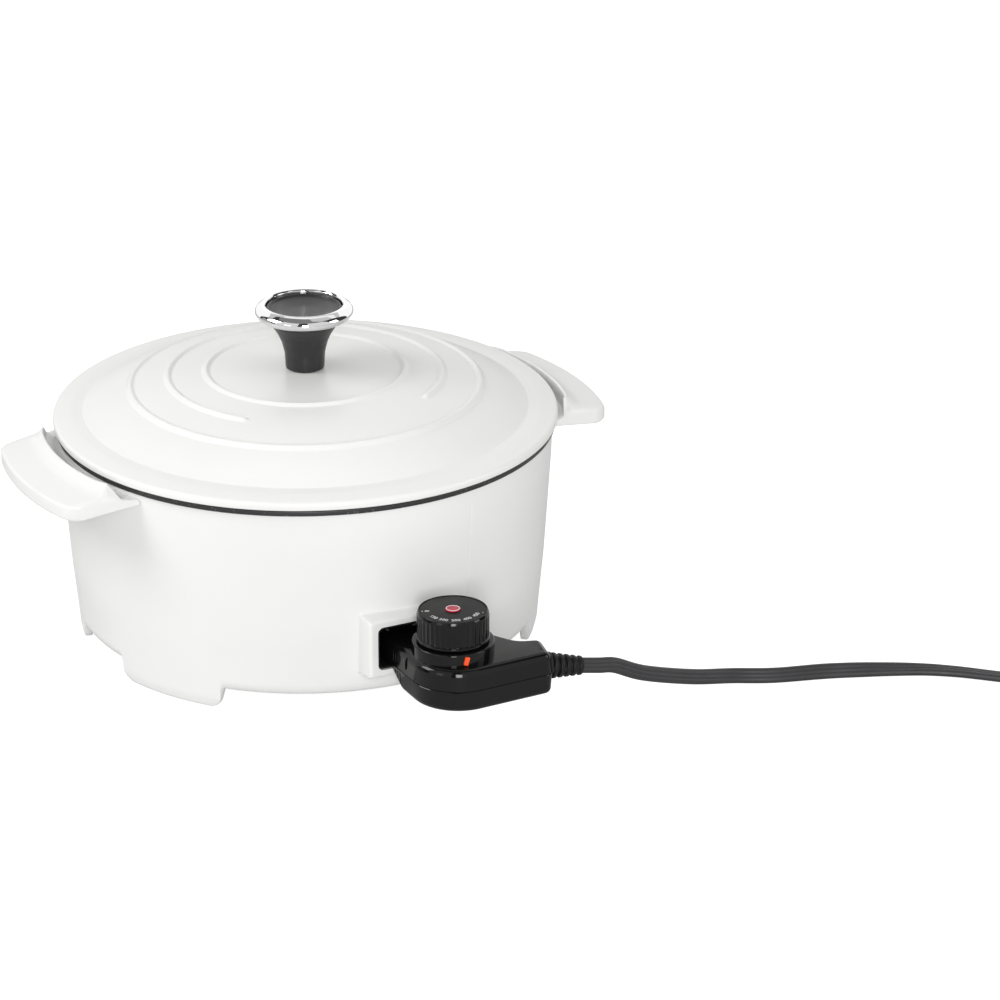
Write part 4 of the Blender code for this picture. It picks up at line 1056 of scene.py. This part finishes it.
# ---- dial
def make_dial():
    flutes, depth = 40, 0.00045
    radius = 0.0194

    def fluted(r, z, degrees):
        inside = DIAL_LOW + 0.0018 < z < DIAL_HIGH - 0.0020 and r > 0.0188
        return (r - depth * sin(radians(degrees * flutes / 2)) ** 2 if inside else r), z

    outline = rounded([
        (0, 0.0645), (0.0033, 0.0645),
        (0.0033, DIAL_LOW), (0.0198, DIAL_LOW, 0.0004),
        (0.0198, DIAL_LOW + 0.0012, 0.0003), (radius - 0.0002, DIAL_LOW + 0.0016, 0.0001),
        (radius - 0.0002, DIAL_LOW + 0.0019), (radius, DIAL_LOW + 0.0021),
        (radius, DIAL_HIGH - 0.0024), (radius - 0.0002, DIAL_HIGH - 0.0019),
        (radius - 0.0002, DIAL_HIGH - 0.0014, 0.0004), (0.0186, DIAL_HIGH, 0.0005),
        (0.0180, DIAL_HIGH, 0.0003), (0.0180, DIAL_HIGH - 0.0012),
        (0, DIAL_HIGH - 0.0012),
    ], 4)
    grip = moved(turned(outline, 320, fluted), DIAL_PLACE)
    piece("dial_grip", grip, "gloss_black", "dial", "dial_knob", sharp=40)
    low = DIAL_HIGH - 0.0009
    face = [(0, low), (0.0177, low), (0.0177, low + 0.0006, 0.0001), (0, low + 0.0006)]
    lathed("dial_plate", face, 96, "matt_black", "dial", "dial_face", place=DIAL_PLACE)
    low += 0.0009
    badge = [(0, low), (0.0042, low), (0.0042, low + 0.0005, 0.0004), (0, low + 0.0007)]
    lathed("dial_button", badge, 64, "red_badge", "dial", "dial_badge", place=DIAL_PLACE)
    halo = [(r, low + up) for r, up in
            ((0.0033, 0.00045), (0.0033, 0.00072), (0.0037, 0.00070), (0.0037, 0.00040))]
    lathed("dial_button_ring", halo, 64, "print", "dial", place=DIAL_PLACE)
    dial_marks(low - 0.0003)


def dial_marks(z):
    """Plain numbers round the dial, their feet outwards, with a dot at each end of the scale."""
    dg = bpy.context.evaluated_depsgraph_get()
    marks = []
    scale = (("0", -199.0), ("150", -163.0), ("200", -137.0), ("300", -110.0), ("400", -83.0), ("450", -55.0))
    for text, azimuth in scale:
        curve = bpy.data.curves.new("number", "FONT")
        curve.body = text
        curve.size = 0.0034
        curve.extrude = 0.00003
        curve.align_x, curve.align_y = "CENTER", "CENTER"
        writing = placed("number", curve)
        bpy.context.view_layer.update()
        mark = bmesh.new()
        mesh = bpy.data.meshes.new_from_object(writing.evaluated_get(dg))
        mark.from_mesh(mesh)
        bpy.data.objects.remove(writing)
        marks.append(moved(moved(mark, turn=spin(azimuth + 90)), polar(0.0140, azimuth)))
    for azimuth in (-199.0, -41.0):
        marks.append(moved(rod((0, 0, -0.00003), (0, 0, 0.00003), 0.00035, 20), polar(0.0164, azimuth)))
    piece("dial_numbers", moved(joined(marks), (DIAL_X, DIAL_Y, z + 0.00004)), "print", "dial")


# ---- stage
def aimed(name, data, place, way):
    """A camera or a light at a place, facing along a way."""
    made = placed(name, data)
    made.location = place
    made.rotation_mode = "QUATERNION"
    made.rotation_quaternion = Vector(way).to_track_quat("-Z", "Y")
    return made


def make_camera():
    data = bpy.data.cameras.new("camera")
    data.sensor_width = 36.0
    data.lens = 162.0
    data.clip_end = 20.0
    place = (-0.95859, -2.12115 + AXIS_Y, 1.04573)
    bpy.context.scene.camera = aimed("camera", data, place, (0.41839, 0.82205, -0.38624))


def panel(name, place, target, width, height, strength):
    """A soft light that faces a target."""
    light = bpy.data.lights.new(name, "AREA")
    light.shape = "RECTANGLE"
    light.size, light.size_y = width, height
    light.energy = strength
    aimed(name, light, place, target - place)


LIGHTS = (
    ("key", -1.25, -0.15, 1.00, 0.7, 0.7, 12.0),
    ("left_low", -1.50, 0.10, 0.35, 0.8, 0.6, 0.5),
    ("front", 0.15, -1.60, 0.45, 0.35, 0.9, 14.0),
    ("front_left", -0.90, -1.20, 0.50, 0.4, 0.6, 1.0),
    ("top", 0.20, 0.50, 1.70, 1.6, 1.0, 2.0),
    ("right", 1.40, -0.30, 0.60, 0.5, 0.8, 4.2),
    ("back", 0.00, 1.50, 0.90, 1.5, 0.5, 0.6),
)  # name, metres to the right, behind and above the pot, width, height, watts
WORLD = 0.43
FLOOR_HALF = 6.0
FLOOR_GLOW = 0.30  # what the floor sends up to the cooker
FLOOR_SEEN = 0.95  # how bright the floor looks
WALL_R = 4.0
BACK = Vector((0.456, 0.890, 0.0))  # away from the camera
WALLS = (
    (1.10, 62, 42),
    (0.60, 62, 90),
    (0.02, 112, 60),
    (0.75, 168, 60),
    (0.03, 180, 60),
    (0.20, 180, 90),
)  # glow, degrees round from behind, degrees up: a patch takes the first row that holds it


def glowing(name, grey, roughness, glow):
    white = (1.0, 1.0, 1.0, 1.0)
    return Nodes(name, (grey, grey, grey), roughness, Emission_Color=white, Emission_Strength=glow)


def make_walls():
    """The studio as gloss sees it: bright behind, dark at the sides, and two soft screens in front."""
    bm = bmesh.new()
    bmesh.ops.create_uvsphere(bm, u_segments=72, v_segments=24, radius=WALL_R)
    for face in bm.faces:
        middle = face.calc_center_median()
        bearing = math.degrees(math.atan2(middle.y, middle.x) - math.atan2(BACK.y, BACK.x))
        bearing = abs((bearing + 180) % 360 - 180)
        high = math.degrees(math.asin(middle.z / WALL_R))
        holds = [bearing <= ends and high <= top for _, ends, top in WALLS]
        face.material_index = holds.index(True)
    mesh = meshed("walls", bm)
    for i, (glow, _, _) in enumerate(WALLS):
        mesh.materials.append(glowing(f"wall_{i}", 0.02, 0.9, glow).made)
    walls = placed("walls", mesh)
    walls.location.y = AXIS_Y
    walls.visible_camera = walls.visible_diffuse = walls.visible_transmission = walls.visible_shadow = False


def make_stage():
    world = bpy.data.worlds.new("studio")
    world.use_nodes = True
    world.node_tree.nodes["Background"].inputs["Color"].default_value = (1.0, 1.0, 1.0, 1.0)
    world.node_tree.nodes["Background"].inputs["Strength"].default_value = WORLD
    bpy.context.scene.world = world
    bpy.context.scene.view_settings.view_transform = "Standard"

    for name, glow, drop in (("floor_seen", FLOOR_SEEN, 0.0002), ("floor_bounce", FLOOR_GLOW, 0.0004)):
        floor_look = glowing(name, 0.30, 0.75, glow)
        floor_look.tint(floor_look.noise(3.0), (0.29, 0.29, 0.29))
        mesh = bpy.data.meshes.new(name)
        corners = [(x * FLOOR_HALF, y * FLOOR_HALF, 0) for x, y in ((-1, -1), (1, -1), (1, 1), (-1, 1))]
        mesh.from_pydata(corners, [], [(0, 1, 2, 3)])
        mesh.materials.append(floor_look.made)
        floor = placed(name, mesh)
        floor.location.z = -drop
        seen = name == "floor_seen"
        floor.visible_camera = seen
        floor.visible_diffuse = floor.visible_glossy = floor.visible_transmission = not seen
        floor.visible_shadow = False

    make_walls()
    middle = Vector((0.0, AXIS_Y, 0.09))
    right, up = Vector((0.890, -0.456, 0.0)), Vector((0, 0, 1))
    for name, across, away, high, width, height, watts in LIGHTS:
        panel(name, middle + across * right + away * BACK + high * up, middle, width, height, watts)


# ---- the whole cooker
make_camera()
cord, cord_path, cord_length = make_cord()
relief = make_relief()
tie = make_tie()
plug_pieces = make_plug()
for make in (make_lid, make_knob, make_shell, make_liner, make_pins, make_pot, make_underside):
    make()
make_handle("right_handle", "handle_right", 0)
make_handle("left_handle", "handle_left", 180)
for make in (make_control_top, make_control_bottom, make_control_small, make_dial, make_stage):
    make()

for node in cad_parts.values():
    for slot_of_node in node.material_slots:
        name = slot_of_node.material.name.split(".")[0] if slot_of_node.material else ""
        if name in look:
            slot_of_node.material = look[name]
